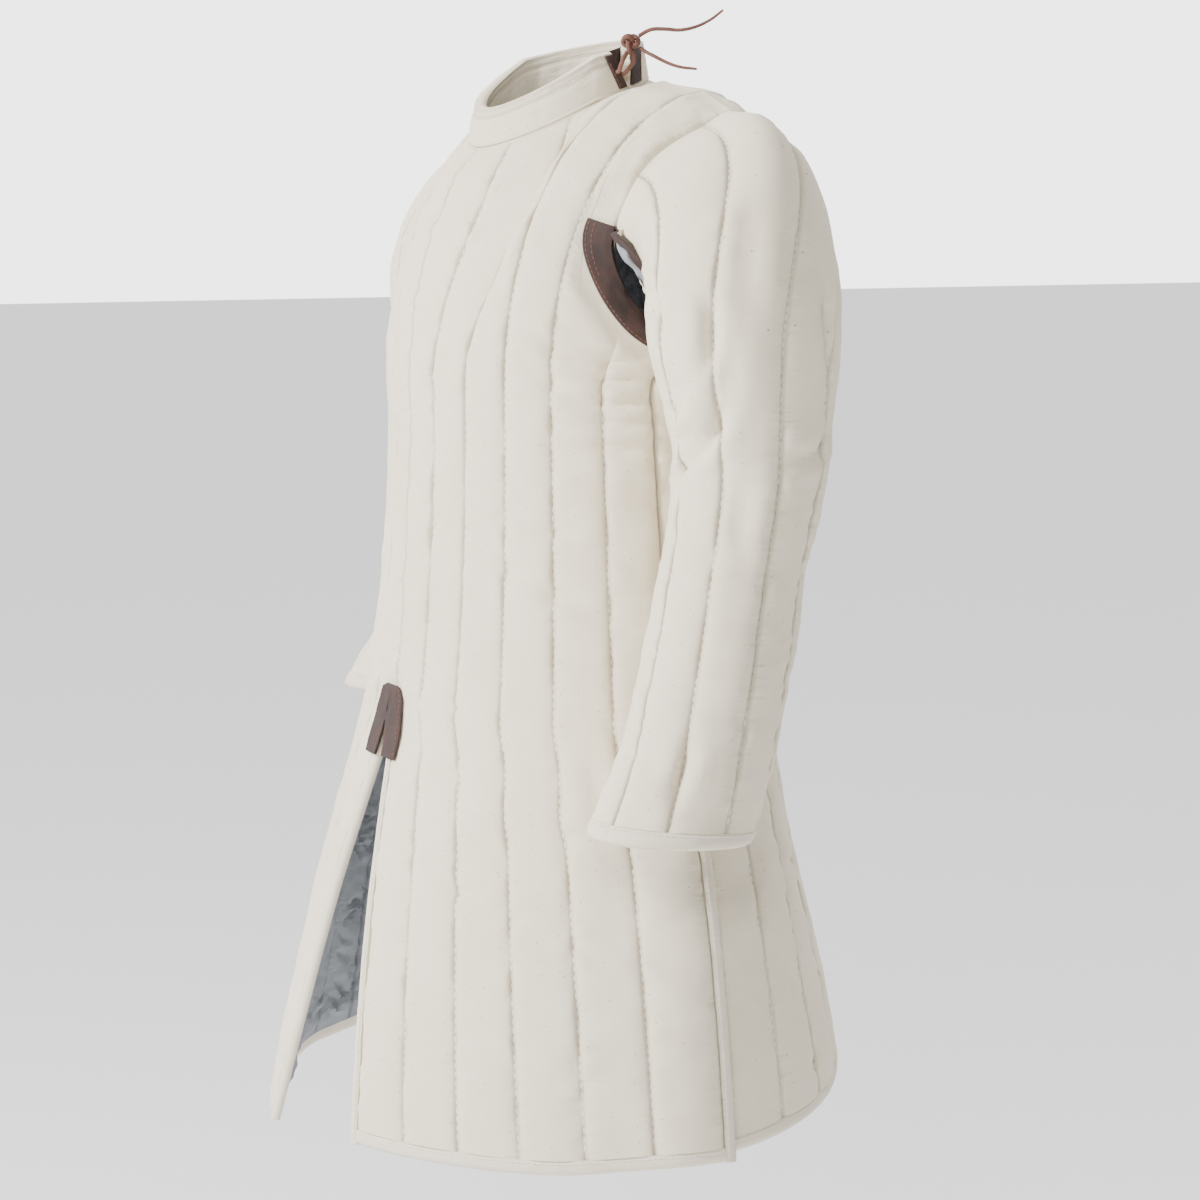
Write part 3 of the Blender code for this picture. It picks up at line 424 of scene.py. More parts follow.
def canvas(name, colour, shade, seams=True):
    """Unbleached cotton canvas: weave, faint stains, seed flecks, and at seams puckers and painted
    shade.
    """
    paint = Paint(name, 0.88)
    solid, cloth = paint.solid(), paint.place((1.0, 1.0, 1.0))
    stains = paint.noise(solid, 5.0, 4.0)
    mottle = paint.noise(solid, 38.0, 4.0, 0.6)
    warp = paint.noise(paint.place((2600.0, 260.0, 1.0)), 1.0, 1.0)
    weft = paint.noise(paint.place((260.0, 2600.0, 1.0)), 1.0, 1.0)
    dirty = paint.range(stains, 0.42, 0.72) * 0.55 + paint.range(mottle, 0.45, 0.75) * 0.35
    base = paint.mix(dirty, (*colour, 1.0), (*shade, 1.0))
    cells, chance = (paint.node("ShaderNodeTexVoronoi", {"voronoi_dimensions": "2D"},
                                {"Vector": cloth, "Scale": 62.0}, output)
                     for output in ("Distance", "Color"))
    red = paint.node("ShaderNodeSeparateColor", {}, {0: chance})
    fleck = paint.range(cells, 0.052, 0.026) * paint.range(red, 0.72, 0.74)
    base = paint.mix(fleck * 0.75, base, (0.36, 0.27, 0.17, 1.0))
    threads = paint.range(warp * 0.5 + weft * 0.5, 0.38, 0.62)
    base = paint.mix(threads * 0.10, base, darker(colour, 0.80))
    height = threads * 0.00010 + mottle * 0.0005
    if seams:
        near = paint.attribute("seam")
        # Painted shade: within 4 mm of a seam the colour turns darker, the groove's shadow put into
        # the colour
        painted_groove_shade = paint.range(near, 0.0040, 0.0002)
        base = paint.mix(painted_groove_shade * 0.60, base, darker(shade, 0.62))
        puckers = paint.noise(paint.place((28.0, 210.0, 1.0)), 1.0, 2.0)
        height = height + puckers * paint.range(near, 0.022, 0.001) * 0.0020
    paint.colour(base)
    paint.bump(height, 1.0, 0.8)
    return paint.material


def leather_finish(name, colour, worn_colour, wear):
    """Smooth vegetable-tanned leather with a fine grain, creases and rubbed places."""
    paint = Paint(name, 0.55)
    solid = paint.solid()
    cloudy = paint.noise(solid, 45.0, 5.0, 0.6)
    grain = paint.node("ShaderNodeTexVoronoi", {}, {"Vector": solid, "Scale": 1300.0}, "Distance")
    fine = paint.noise(solid, 420.0, 3.0)
    base = paint.mix(paint.range(cloudy, 0.38, 0.75) * wear, (*colour, 1.0), (*worn_colour, 1.0))
    paint.colour(paint.mix(paint.range(fine, 0.5, 0.8) * 0.25, base, darker(colour, 0.6)))
    paint.rough(paint.range(cloudy, 0.3, 0.7, 0.66, 0.82))
    paint.bump(grain * 0.00022 + cloudy * 0.0012 + fine * 0.0002, 1.0, 0.7)
    return paint.material


def thread_finish(name, colour):
    """Twisted sewing thread."""
    paint = Paint(name, 0.75)
    solid = paint.solid()
    twist = paint.noise(solid, 900.0, 2.0)
    paint.colour(paint.mix(paint.range(twist, 0.3, 0.7) * 0.5, (*colour, 1.0),
                           darker(colour, 0.82)))
    paint.bump(twist * 0.0002, 1.0, 0.6)
    return paint.material


def make_finishes():
    """Every finish of the garment by name."""
    return {
        "canvas": canvas("canvas", (0.830, 0.742, 0.580), (0.745, 0.655, 0.495)),
        "binding": canvas("binding_canvas", (0.790, 0.715, 0.575), (0.715, 0.640, 0.500), False),
        "lining": canvas("lining", (0.270, 0.285, 0.305), (0.170, 0.182, 0.200)),
        "thread": thread_finish("thread", (0.93, 0.91, 0.86)),
        "leather": leather_finish("leather", (0.026, 0.0115, 0.0090), (0.058, 0.029, 0.023), 0.8),
        "leather_thread": thread_finish("leather_thread", (0.20, 0.075, 0.048)),
        "thong": leather_finish("thong_leather", (0.130, 0.050, 0.032), (0.240, 0.115, 0.080), 0.8),
    }


# Shapes of the garment
def smooth(edge0, edge1, value):
    """Smooth step from 0 to 1."""
    t = np.clip((value - edge0) / (edge1 - edge0), 0.0, 1.0)
    return t * t * (3.0 - 2.0 * t)


def unit(vector):
    """The vector at length 1."""
    return np.asarray(vector, float) / np.linalg.norm(vector)


def running_length(points):
    """Length along a row of points, from 0 at its first."""
    spans = np.linalg.norm(np.diff(points, axis=0), axis=1)
    return np.concatenate(([0.0], np.cumsum(spans)))


def grid_quads(numbers):
    """Quads between the neighbours of a grid of point numbers."""
    corners = (numbers[:-1, :-1], numbers[:-1, 1:], numbers[1:, 1:], numbers[1:, :-1])
    return np.stack(corners, axis=-1).reshape(-1, 4)


def side_name(left):
    """The side's word in the names of pieces."""
    return "left" if left else "right"


def hermite(p0, m0, p1, m1, t):
    """A point of the cubic curve from p0 to p1 with end slopes m0 and m1."""
    return ((2 * t**3 - 3 * t**2 + 1) * p0 + (t**3 - 2 * t**2 + t) * m0
            + (3 * t**2 - 2 * t**3) * p1 + (t**3 - t**2) * m1)


def spline(points, places):
    """Points of a smooth curve through the rows of an array, at places counted in rows."""
    slopes = np.gradient(points, axis=0)
    i = np.clip(np.floor(places).astype(int), 0, len(points) - 2)
    t = (places - i).reshape((-1,) + (1,) * (points.ndim - 1))
    return hermite(points[i], slopes[i], points[i + 1], slopes[i + 1], t)


def section(rows, z):
    """Smooth values of a table's columns at a height; its first column falls."""
    heights = rows[:, 0]
    slopes = np.gradient(rows[:, 1:], heights, axis=0)
    z = np.clip(z, heights[-1], heights[0])
    i = int(np.clip(np.searchsorted(-heights, -z) - 1, 0, len(heights) - 2))
    width = heights[i + 1] - heights[i]
    return hermite(rows[i, 1:], width * slopes[i], rows[i + 1, 1:], width * slopes[i + 1],
                   (z - heights[i]) / width)


def to_side(points, left):
    """Points of the left-hand form on their own side of the worn garment."""
    points = np.array(points, float)
    if left:
        return points
    x, z = points[..., 0], points[..., 2]
    turned = points * np.array((-1.0, 1.0, 1.0))
    forward = SHOULDER_TURN * x * x / (np.abs(x) + TURN_SOFTNESS) * smooth(*TURN_HEIGHTS, z)
    turned[..., 1] -= forward
    return turned


def turned_over(normals, left):
    """Directions of the left-hand form on their own side."""
    return normals if left else normals * np.array((-1.0, 1.0, 1.0))


def ring_point(ring, height, degrees):
    """A point of the neck or collar ring; 0 is the front and 90 the wearer's left."""
    half, front, behind, middle = ring
    a = radians(degrees)
    depth, drop = (front, height[1]) if cos(a) > 0 else (behind, height[2])
    return np.array((half * sin(a), middle - depth * cos(a), height[0] - drop * cos(a)))


def shoulder(place):
    """A point of the shoulder seam, 0 at the neck and 1 at its outer end."""
    points = np.array((ring_point(NECK_RING, NECK_HEIGHT, SHOULDER_ANGLE), *SHOULDER_POINTS))
    return np.array([np.interp(place, SHOULDER_PLACES, points[:, k]) for k in range(3)])


def armhole(place):
    """A point of the closed smooth armhole curve; whole numbers are the table's rows."""
    i = int(np.floor(place))
    t = place - i
    p0, p1, p2, p3 = (ARMHOLE[(i + k) % ARM_COUNT] for k in (-1, 0, 1, 2))
    return hermite(p1, (p2 - p0) / 2, p2, (p3 - p1) / 2, t)


def armhole_out(point):
    """Direction away from the armhole's middle, in the plane of the hole."""
    return unit((0.0, point[1] - ARMHOLE_CENTRE[0], point[2] - ARMHOLE_CENTRE[1]))


def opening(place):
    """How far the armpit is open at a place of the armhole, 0 where the sleeve is sewn in."""
    return float(smooth(OPENING_FROM, OPENING_FROM + OPENING_EASE, place)
                 * (1 - smooth(OPENING_TO - OPENING_EASE, OPENING_TO, place)))


def top_edge(behind, channel):
    """Point, start direction and shared wall direction on a half panel's top edge."""
    rows = BACK_TOP if behind else FRONT_TOP
    c0, c1, seam, s0, s1 = next(row for row in rows if channel <= row[1])
    place = s0 + (s1 - s0) * (channel - c0) / (c1 - c0)
    way = 1.0 if behind else -1.0
    if seam == "neck":
        a = radians(place)
        flat = np.array((sin(a), -cos(a), 0.0))
        start = flat * (0.80, 0.62)[not behind] + np.array((0.0, 0.0, -0.50 if behind else -0.78))
        lift = smooth(180 if behind else 60, SHOULDER_ANGLE, place)
        start = (1 - lift) * start + lift * np.array((0.25, way, -0.12))
        return ring_point(NECK_RING, NECK_HEIGHT, place), start, None
    apart = np.array((0.0, way * SEAM_GAP / 2, 0.0))
    return shoulder(place) + apart, np.array((0.11, way, -0.24)), unit((0.12, 0.0, 1.0))


def rim_place(behind, t):
    """Place on the armhole of a row's outer end, or its bottom from there down."""
    share = min(t / RIM_SHARE, 1.0)
    return ARM_COUNT - (ARM_COUNT - ARM_BOTTOM) * share if behind else ARM_BOTTOM * share


def rim_point(behind, t):
    """The outer end of a row: on the armhole, and under it on the side seam."""
    apart = np.array((0.0, (1.0 if behind else -1.0) * SEAM_GAP / 2, 0.0))
    point = armhole(rim_place(behind, t)) + apart
    below = max(0.0, (t - RIM_SHARE) / (1.0 - RIM_SHARE))
    return point + (lower_point(behind, True, HALF_CHANNELS, CHEST_Z) - point) * below


def quarter(behind, z):
    """Points of the body's section from the centre past the side, and their running length."""
    half, front, back = section(BODY_SECTIONS, z)
    angle = np.radians(np.arange(0.0, 113.0))
    near, far = (back, front) if behind else (front, back)
    square = 2.0 / (2.0 + (BACK_SQUARE if behind else 0.0) * float(smooth(-0.50, -0.30, z)))
    across = np.sign(np.cos(angle)) * np.abs(np.cos(angle)) ** square
    y = (1.0 if behind else -1.0) * np.where(angle < pi / 2, near, far) * across
    x = half * np.sin(angle) ** square
    run = np.concatenate(([0.0], np.cumsum(np.hypot(np.diff(x), np.diff(y)))))
    return x, y, run, float(run[90])


def strip_width(top, z):
    """Width of an edge strip at a height: nothing at its top, full a little below."""
    return EDGE_STRIP * float(smooth(0.0, STRIP_GROWTH, top - z))


def hem_shift(behind, left, share):
    """How much higher the hem hangs at a share of the half panel, 0 at the slit, 1 at the side."""
    if behind:
        return BACK_HEM_RISE[0] + BACK_HEM_RISE[1] * (1.0 - share)
    rise = FRONT_HEM_RISE * float(smooth(0.55, 1.0, share))
    return rise - (0.0 if left else RIGHT_HEM_DROP * float(smooth(0.55, 0.0, share)))


def body_edges(behind, left, z):
    """Running lengths of the slit edge and the side edge of a half panel, strips included."""
    left_gap, right_gap, back_gap = section(SLIT_SECTIONS, z)
    slit = 0.0 if z >= SLIT_TOP_Z else (back_gap if behind else left_gap if left else right_gap)
    lap = 0.0 if behind else VENT_LAP * float(smooth(0.0, 0.07, VENT_TOP_Z - z))
    return slit, quarter(behind, z)[3] - SEAM_GAP / 2 + lap


def body_point(behind, left, run_at, z, share):
    """A point of the section at a running length; the front's side edge lies over the back's."""
    x, y, run, side = quarter(behind, z)
    before, after = max(run_at - 0.002, 0.0), run_at + 0.002
    along = [np.interp(after, run, v) - np.interp(before, run, v) for v in (x, y)]
    out = np.array((abs(along[1]), (1.0 if behind else -1.0) * along[0])) / np.hypot(*along)
    lift = 0.0
    if not behind:
        lift = VENT_LIFT * float(smooth(side * 0.80, side * 0.97, run_at)
                                 * smooth(0.0, 0.06, VENT_TOP_Z + 0.045 - z))
    drop = hem_shift(behind, left, share) * float(smooth(SLIT_TOP_Z, HEM_Z, z))
    return np.array((np.interp(run_at, run, x) + out[0] * lift,
                     np.interp(run_at, run, y) + out[1] * lift, z + drop))


def lower_point(behind, left, channel, z):
    """A point of the panel below the chest line, at a channel number from the centre."""
    slit, side = body_edges(behind, left, z)
    inner = slit + (strip_width(SLIT_TOP_Z, z) if z < SLIT_TOP_Z else 0.0)
    outer = side - (strip_width(VENT_TOP_Z, z) if z < VENT_TOP_Z else 0.0)
    share = channel / HALF_CHANNELS
    return body_point(behind, left, inner + (outer - inner) * share, z, share)


def seam_point(behind, channel, t):
    """A point of a drawn seam between the top edge, t = 0, and the chest line, t = 1."""
    if channel > LAST_DRAWN:
        return rim_point(behind, t)
    start, way, _ = top_edge(behind, channel)
    end = lower_point(behind, True, channel, CHEST_Z)
    below = lower_point(behind, True, channel, CHEST_Z - 0.03)
    span = np.linalg.norm(end - start)
    return hermite(start, unit(way) * span * 1.15, end, (below - end) / 0.03 * span * 0.95, t)


def upper_point(behind, channel, t):
    """A point above the chest, filled in between drawn seams, the top edge and the chest line."""
    c0 = min(int(channel), LAST_DRAWN)
    c1 = c0 + 1 if c0 < LAST_DRAWN else HALF_CHANNELS
    share = (channel - c0) / (c1 - c0)
    p0, p1, q0, q1 = (seam_point(behind, c, at) for at in (t, 1.0) for c in (c0, c1))
    width = min(1.0, float(np.linalg.norm(p1 - p0) / np.linalg.norm(q1 - q0)))
    point = p0 * (1 - share) + p1 * share
    for weight, edge in ((1 - float(smooth(0.0, 0.3, t)), lambda c: top_edge(behind, c)[0]),
                         (float(smooth(0.0, 1.0, t)) * width**2,
                          lambda c: lower_point(behind, True, c, CHEST_Z))):
        point = point + weight * (edge(channel) - edge(c0) * (1 - share) - edge(c1) * share)
    return point


def sleeve_point(left, channel, z):
    """A point of a sleeve's section at a channel number."""
    x, y, half, depth, turn = section(SLEEVE_SECTIONS, z)
    down = float(smooth(*FOREARM_HEIGHTS, z))
    a = radians(FIRST_SEAM_ANGLE + turn + 360.0 / SLEEVE_CHANNELS * channel)
    y += 0.0 if left else RIGHT_FOREARM_BACK * down
    z += (0.0 if left else RIGHT_FOREARM_UP * down) + CUFF_TILT * down**2 * depth * sin(a)
    return np.array((x + half * cos(a), y + depth * sin(a), z))


def collar_point(t, degrees, out):
    """A point of the collar's wall: t up it, degrees round it, out from its outer face."""
    base = ring_point(NECK_RING, NECK_HEIGHT, degrees)
    top = ring_point(COLLAR_RING, COLLAR_HEIGHT, degrees)
    a = radians(degrees)
    flat = unit((sin(a) / NECK_RING[0], -cos(a) / NECK_RING[1], 0.0))
    return base + (top - base) * t + flat * out


def notch_edge(edge, t):
    """Degrees of one edge of the collar's notch at a share of its height."""
    return edge[0] + (edge[1] - edge[0]) * t


def worn(point):
    """A collar point on its own side of the worn garment."""
    return to_side(point * np.array((np.sign(point[0]) or 1.0, 1.0, 1.0)), point[0] >= 0)


# Cloth surface
def noise(u, v):
    """Smooth noise from -1 to 1 over two coordinates."""
    u, v = np.broadcast_arrays(np.asarray(u, float), np.asarray(v, float))
    i, j = np.floor(u).astype(int), np.floor(v).astype(int)
    s, t = smooth(0.0, 1.0, u - i), smooth(0.0, 1.0, v - j)
    rows = [LATTICE[(i + a) % 64, j % 64] * (1 - t) + LATTICE[(i + a) % 64, (j + 1) % 64] * t
            for a in (0, 1)]
    return rows[0] * (1 - s) + rows[1] * s


def crown(u):
    """Height of the padding across a channel, 0 at each seam and 1 in the middle."""
    return (1.0 - np.abs(2.0 * np.clip(u, 0.0, 1.0) - 1.0) ** 3.0) ** 0.60


def grid_normals(points, outward):
    """Unit normals of a grid of points, all turned to the side of most of the outward vectors."""
    normals = np.cross(np.gradient(points, axis=1), np.gradient(points, axis=0))
    normals /= np.maximum(np.linalg.norm(normals, axis=2, keepdims=True), 1e-12)
    return normals * np.sign(np.sum(normals * outward))


def creases(name, points):
    """How far the creases of a piece push each of its points outwards, a trough with soft lips."""
    push = np.zeros(points.shape[:2])
    for half_width, rise, route in CREASES[name]:
        half_width, rise, route = half_width / 1000, rise / 1000, np.array(route) / 1000
        spans = np.linalg.norm(np.diff(route, axis=0), axis=1)
        done, best, along = 0.0, np.full(push.shape, 9.0), np.zeros(push.shape)
        for a, b, span in zip(route, route[1:], spans):
            t = np.clip(((points - a) @ (b - a)) / span**2, 0.0, 1.0)
            far = np.linalg.norm(points - a - t[..., None] * (b - a), axis=2)
            nearer = far < best
            best, along = np.where(nearer, far, best), np.where(nearer, done + t * span, along)
            done += span
        ends = np.sin(pi * np.clip(along / done, 0.02, 0.98)) ** 0.6
        lips = 0.25 * np.exp(-((best - 2.2 * half_width) / half_width) ** 2)
        push += CREASE_STRENGTH * rise * ends * (np.exp(-(best / half_width) ** 2) - lips)
    return push


def channel_grid(points, places, last, closed):
    """Length down a quilted grid, place in its channel, nearest seam and distance to that seam."""
    whole = np.floor(places + 1e-6).astype(int)
    seam_columns = [int(np.argmin(np.abs(places - k))) for k in range(last + (not closed))]
    on_seams = points[:, seam_columns]
    if closed:
        on_seams = np.concatenate((on_seams, on_seams[:, :1]), axis=1)
    widths = np.linalg.norm(np.diff(on_seams, axis=1), axis=2)
    width = widths[:, np.clip(whole, 0, last - 1)]
    spans = np.linalg.norm(np.diff(points, axis=0), axis=2).mean(axis=1)
    down = np.concatenate(([0.0], np.cumsum(spans)))[:, None] * np.ones((1, len(places)))
    u = places - whole
    nearest = np.round(places).astype(int)
    seam = np.abs(places - nearest)[None, :] * width
    return down, u, nearest, seam


def padding(down, nearest, seam, places, name):
    """Lumps of the padding, as a share of its rise, and the puckers beside its seams, in metres."""
    channel = np.floor(places + 1e-6)
    seed = {"front": 0.0, "back": 17.0, "sleeve_left": 31.0, "sleeve_right": 45.0}[name]
    lumps = noise(channel * 3.7 + seed, down / 0.055) * 0.24
    lumps = lumps + noise(places * 1.9 + seed, down / 0.024) * 0.20
    side = np.where(places > nearest, 1.0, 0.0)
    lean = noise(nearest * 5.3 + side * 2.6 + seed, down / 0.06) * 0.8
    puckers = noise(nearest * 7.7 + side * 3.1 + seed, (down + lean * seam) / 0.0068)
    deeper = noise(nearest * 3.3 + side * 1.7 + seed, (down + lean * seam) / 0.017)
    near = np.exp(-seam / 0.012) * (1.0 - np.exp(-seam / 0.0018))
    return lumps, (puckers * 0.0018 + deeper * 0.0026) * near


def lining_ropes(down, places, seed):
    """How far the lining stands inwards: ropes between the seams, with slanting creases."""
    rope = crown(places - np.floor(places + 1e-6))[None, :]
    slanted = down / 0.016 + places * 4.0 + 1.5 * noise(places * 1.6 + seed, down / 0.05)
    twist = 1.0 - np.abs(np.sin(pi * slanted)) ** 0.8
    twist = twist * (0.65 + 0.7 * noise(places * 2.1 + seed, down / 0.03))
    fine = noise(places * 5.0 + seed, down / 0.007 + places * 2.0)
    return rope * (0.0085 - 0.0085 * np.clip(twist, 0.0, 1.2) + 0.0016 * fine)


def mesh_object(name, verts, faces, kinds, finishes, uv=None, seam=None, sharp=50.0):
    """A closed smooth mesh from points and quads, with UV in metres and distance to the seam."""
    data = bpy.data.meshes.new(name)
    data.from_pydata(verts, [], faces)
    for finish in finishes:
        data.materials.append(finish)
    data.polygons.foreach_set("material_index", kinds)
    if uv is not None:
        layer = data.uv_layers.new(name="cloth")
        corners = np.zeros(len(data.loops), int)
        data.loops.foreach_get("vertex_index", corners)
        layer.data.foreach_set("uv", np.asarray(uv, float)[corners].ravel())
    if seam is not None:
        stored = data.attributes.new("seam", "FLOAT", "POINT")
        stored.data.foreach_set("value", np.asarray(seam, float))
    mesh = bmesh.new()
    mesh.from_mesh(data)
    bmesh.ops.remove_doubles(mesh, verts=mesh.verts, dist=MERGE)
    bmesh.ops.recalc_face_normals(mesh, faces=mesh.faces)
    mesh.to_mesh(data)
    mesh.free()
    data.polygons.foreach_set("use_smooth", [True] * len(data.polygons))
    data.set_sharp_from_angle(angle=radians(sharp))
    made = bpy.data.objects.new(name, data)
    bpy.context.scene.collection.objects.link(made)
    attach(made, "root")
    return made


class Cloth:
    """Collects outer and inner grids into one closed quilted piece."""

    def __init__(self):
        self.verts, self.faces, self.kinds, self.uv, self.seam, self.count = [], [], [], [], [], 0

    def grid(self, points, uv, seam):
        """Points of one face; gives their numbers."""
        size = points.shape[:2]
        numbers = self.count + np.arange(size[0] * size[1]).reshape(size)
        self.verts.append(points.reshape(-1, 3))
        self.uv.append(uv.reshape(-1, 2))
        self.seam.append(np.broadcast_to(seam, size).ravel())
        self.count += numbers.size
        return numbers

    def quads(self, a, b, c, d, kind):
        """Quads between four arrays of numbers."""
        made = np.stack((a, b, c, d), axis=-1).reshape(-1, 4)
        self.faces.append(made)
        self.kinds.append(np.full(len(made), kind))

    def skin(self, grid, kind, closed):
        """Quads over a grid."""
        if closed:
            grid = np.concatenate((grid, grid[:, :1]), axis=1)
        self.quads(grid[:-1, :-1], grid[:-1, 1:], grid[1:, 1:], grid[1:, :-1], kind)
        return grid

    def add(self, outer, inner, uv, seam, closed, sides):
        """An outer and inner grid, joined at the ends of their columns and at the named sides."""
        outer, inner = self.grid(outer, uv, seam), self.grid(inner, uv, seam)
        outer, inner = self.skin(outer, 0, closed), self.skin(inner, 1, closed)
        for row in (0, -1):
            self.quads(outer[row, :-1], outer[row, 1:], inner[row, 1:], inner[row, :-1], 0)
        for column, first in sides:
            self.quads(outer[first:-1, column], outer[first + 1:, column],
                       inner[first + 1:, column], inner[first:-1, column], 0)

    def make(self, name, finishes):
        """The finished piece."""
        return mesh_object(name, np.concatenate(self.verts), np.concatenate(self.faces),
                           np.concatenate(self.kinds), finishes, np.concatenate(self.uv),
                           np.concatenate(self.seam))


def fine_rows(points):
    """Places of evenly spaced fine rows through a grid of points."""
    gaps = np.linalg.norm(np.diff(points, axis=0), axis=2).mean(axis=1)
    places = [np.arange(n) / n + i for i, n in enumerate(np.maximum(1, np.round(gaps / ROW_STEP)))]
    return np.concatenate(places + [[len(points) - 1.0]])


# Rows of a half panel's base grid: shares above the chest, the armhole's bottom among them, heights
ARM_ROW = 12
UPPER_STEPS = [RIM_SHARE * k / ARM_ROW for k in range(ARM_ROW + 1)] + [0.93]
LOWER_HEIGHTS = [CHEST_Z, -0.265, -0.295, -0.325, -0.355, -0.385, -0.415, -0.445, -0.475, -0.500,
                 SLIT_TOP_Z, -0.535, -0.552, -0.572, -0.595, -0.62, -0.65, -0.68, -0.71, -0.74,
                 -0.77, -0.80, -0.835, HEM_Z + HEM_STRIP]
BASE_STEP = 0.25
# The seam that fades out above the chest, towards the armhole
FADING_SEAM = 5


def half_panel(behind, left):
    """A half panel's fine grids by name, with its channel places and the rows of its landmarks."""
    name = "back" if behind else "front"
    base_places = np.arange(0.0, HALF_CHANNELS + 0.01, BASE_STEP)
    base = np.array([[upper_point(behind, c, t) for c in base_places] for t in UPPER_STEPS]
                    + [[lower_point(behind, left, c, z) for c in base_places]
                       for z in LOWER_HEIGHTS])
    slit_row = len(UPPER_STEPS) + LOWER_HEIGHTS.index(SLIT_TOP_Z)
    chest_row = len(UPPER_STEPS)
    rows = fine_rows(base)
    places = np.array([c + s for c in range(HALF_CHANNELS) for s in CHANNEL_STEPS]
                      + [HALF_CHANNELS])
    points = spline(base, rows)
    points = np.swapaxes(spline(np.swapaxes(points, 0, 1), places / BASE_STEP), 0, 1)
    slit = int(np.argmin(np.abs(rows - slit_row)))
    chest = int(np.argmin(np.abs(rows - chest_row)))
    arm = int(np.argmin(np.abs(rows - ARM_ROW)))
    points[:slit + 1, 0, 0] = 0.0
    outward = points - np.array((0.0, 0.01, -0.22))
    outward[chest:, :, 2] = 0.0
    normals = grid_normals(points, outward)
    count = len(points)
    near_top = np.exp(-np.arange(count) / 4.0)[:, None, None]
    at_seam = [top_edge(behind, c)[2] for c in places]
    shared = np.array([normals[0, k] if out is None else out for k, out in enumerate(at_seam)])
    normals = normals * (1 - near_top) + shared[None] * near_top
    near_side = np.exp(-(HALF_CHANNELS - places) / 0.25)[None, :]
    sewn = smooth(arm - 3, arm, np.arange(count))[:, None]
    normals[..., 1] *= 1 - near_side * sewn
    normals[arm:chest + 1, :, 2] *= 1 - near_side
    near_centre = np.exp(-places / 0.15)[None, :]
    closed_centre = (np.arange(count) <= slit)[:, None]
    normals[..., 0] *= 1 - near_centre * closed_centre
    normals /= np.linalg.norm(normals, axis=2, keepdims=True)
    rim_in = np.exp(-(HALF_CHANNELS - places) / 0.2)
    for r in range(arm):
        point = points[r, -1]
        at = rim_place(behind, float(np.interp(rows[r], range(len(UPPER_STEPS)), UPPER_STEPS)))
        towards = unit(normals[r, -1] * opening(at) + armhole_out(point) * (1 - opening(at)))
        normals[r] = normals[r] * (1 - rim_in[:, None]) + towards * rim_in[:, None]
    normals /= np.linalg.norm(normals, axis=2, keepdims=True)

    down, u, nearest, seam = channel_grid(points, places, HALF_CHANNELS, False)
    lumps, puckers = padding(down, nearest, seam, places, name)
    beside = np.clip((places - LAST_DRAWN) / (HALF_CHANNELS - LAST_DRAWN), 0.0, 1.0)
    above = smooth(CHEST_Z, CHEST_Z + 0.06, points[:, :, 2]) * (beside > 0)
    height = crown(u)[None, :] * (1 - above) + crown(beside)[None, :] * above
    rise = height * (1.0 + lumps) * CHANNEL_RISE
    free = 1 - above * (nearest == FADING_SEAM)[None, :]
    puckers = puckers * free
    seam = seam + NO_SEAM * (1 - free)
    fade = smooth(0.0, 0.030, down) * (0.7 + 0.3 * smooth(0.0, 0.03, down[-1:] - down))
    rim = np.array([armhole(float(p)) for p in np.linspace(*FACING_PLACES, 60)])
    near = np.linalg.norm(points[:, :, None] - rim, axis=3).min(axis=2)
    fade = fade * smooth(*FACING_FLAT, near)
    if not behind:
        first = (places < 1.0)[None, :]
        fade = fade * (1 - first * 0.55 * np.exp(-((points[:, :, 2] + 0.535) / 0.035) ** 2))
    edge = 1.0 - np.exp(-down / 0.004)
    worn_points = to_side(points, left)
    worn_normals = turned_over(normals, left)
    push = creases(name, worn_points) * smooth(0.0, 0.012, near)
    outer = worn_points + worn_normals * (rise * fade + puckers * fade * edge + push)[..., None]
    ropes = lining_ropes(down, places, 3.0 if behind else 9.0)
    ropes = ropes * smooth(0.0, 0.02, down) * smooth(0.0, 0.02, down[-1:] - down)
    slit_edge = smooth(0.6, 0.05, places)[None, :] * (np.arange(count) > slit - 4)[:, None]
    side_edge = smooth(HALF_CHANNELS, HALF_CHANNELS - 0.7, places)[None, :]
    ropes = ropes * (1 - slit_edge) * smooth(0.0, 0.035, near) * side_edge
    inner = worn_points - worn_normals * (SEAM_WALL + ropes - push * 0.6)[..., None]
    across = np.broadcast_to(places * 0.05, down.shape) + (0.0 if left else 1.0)
    uv = np.stack((across, down), axis=-1)
    return {"outer": outer, "inner": inner, "uv": uv, "seam": seam, "base": worn_points,
            "normals": worn_normals, "places": places, "slit": slit, "arm": arm, "near": near}


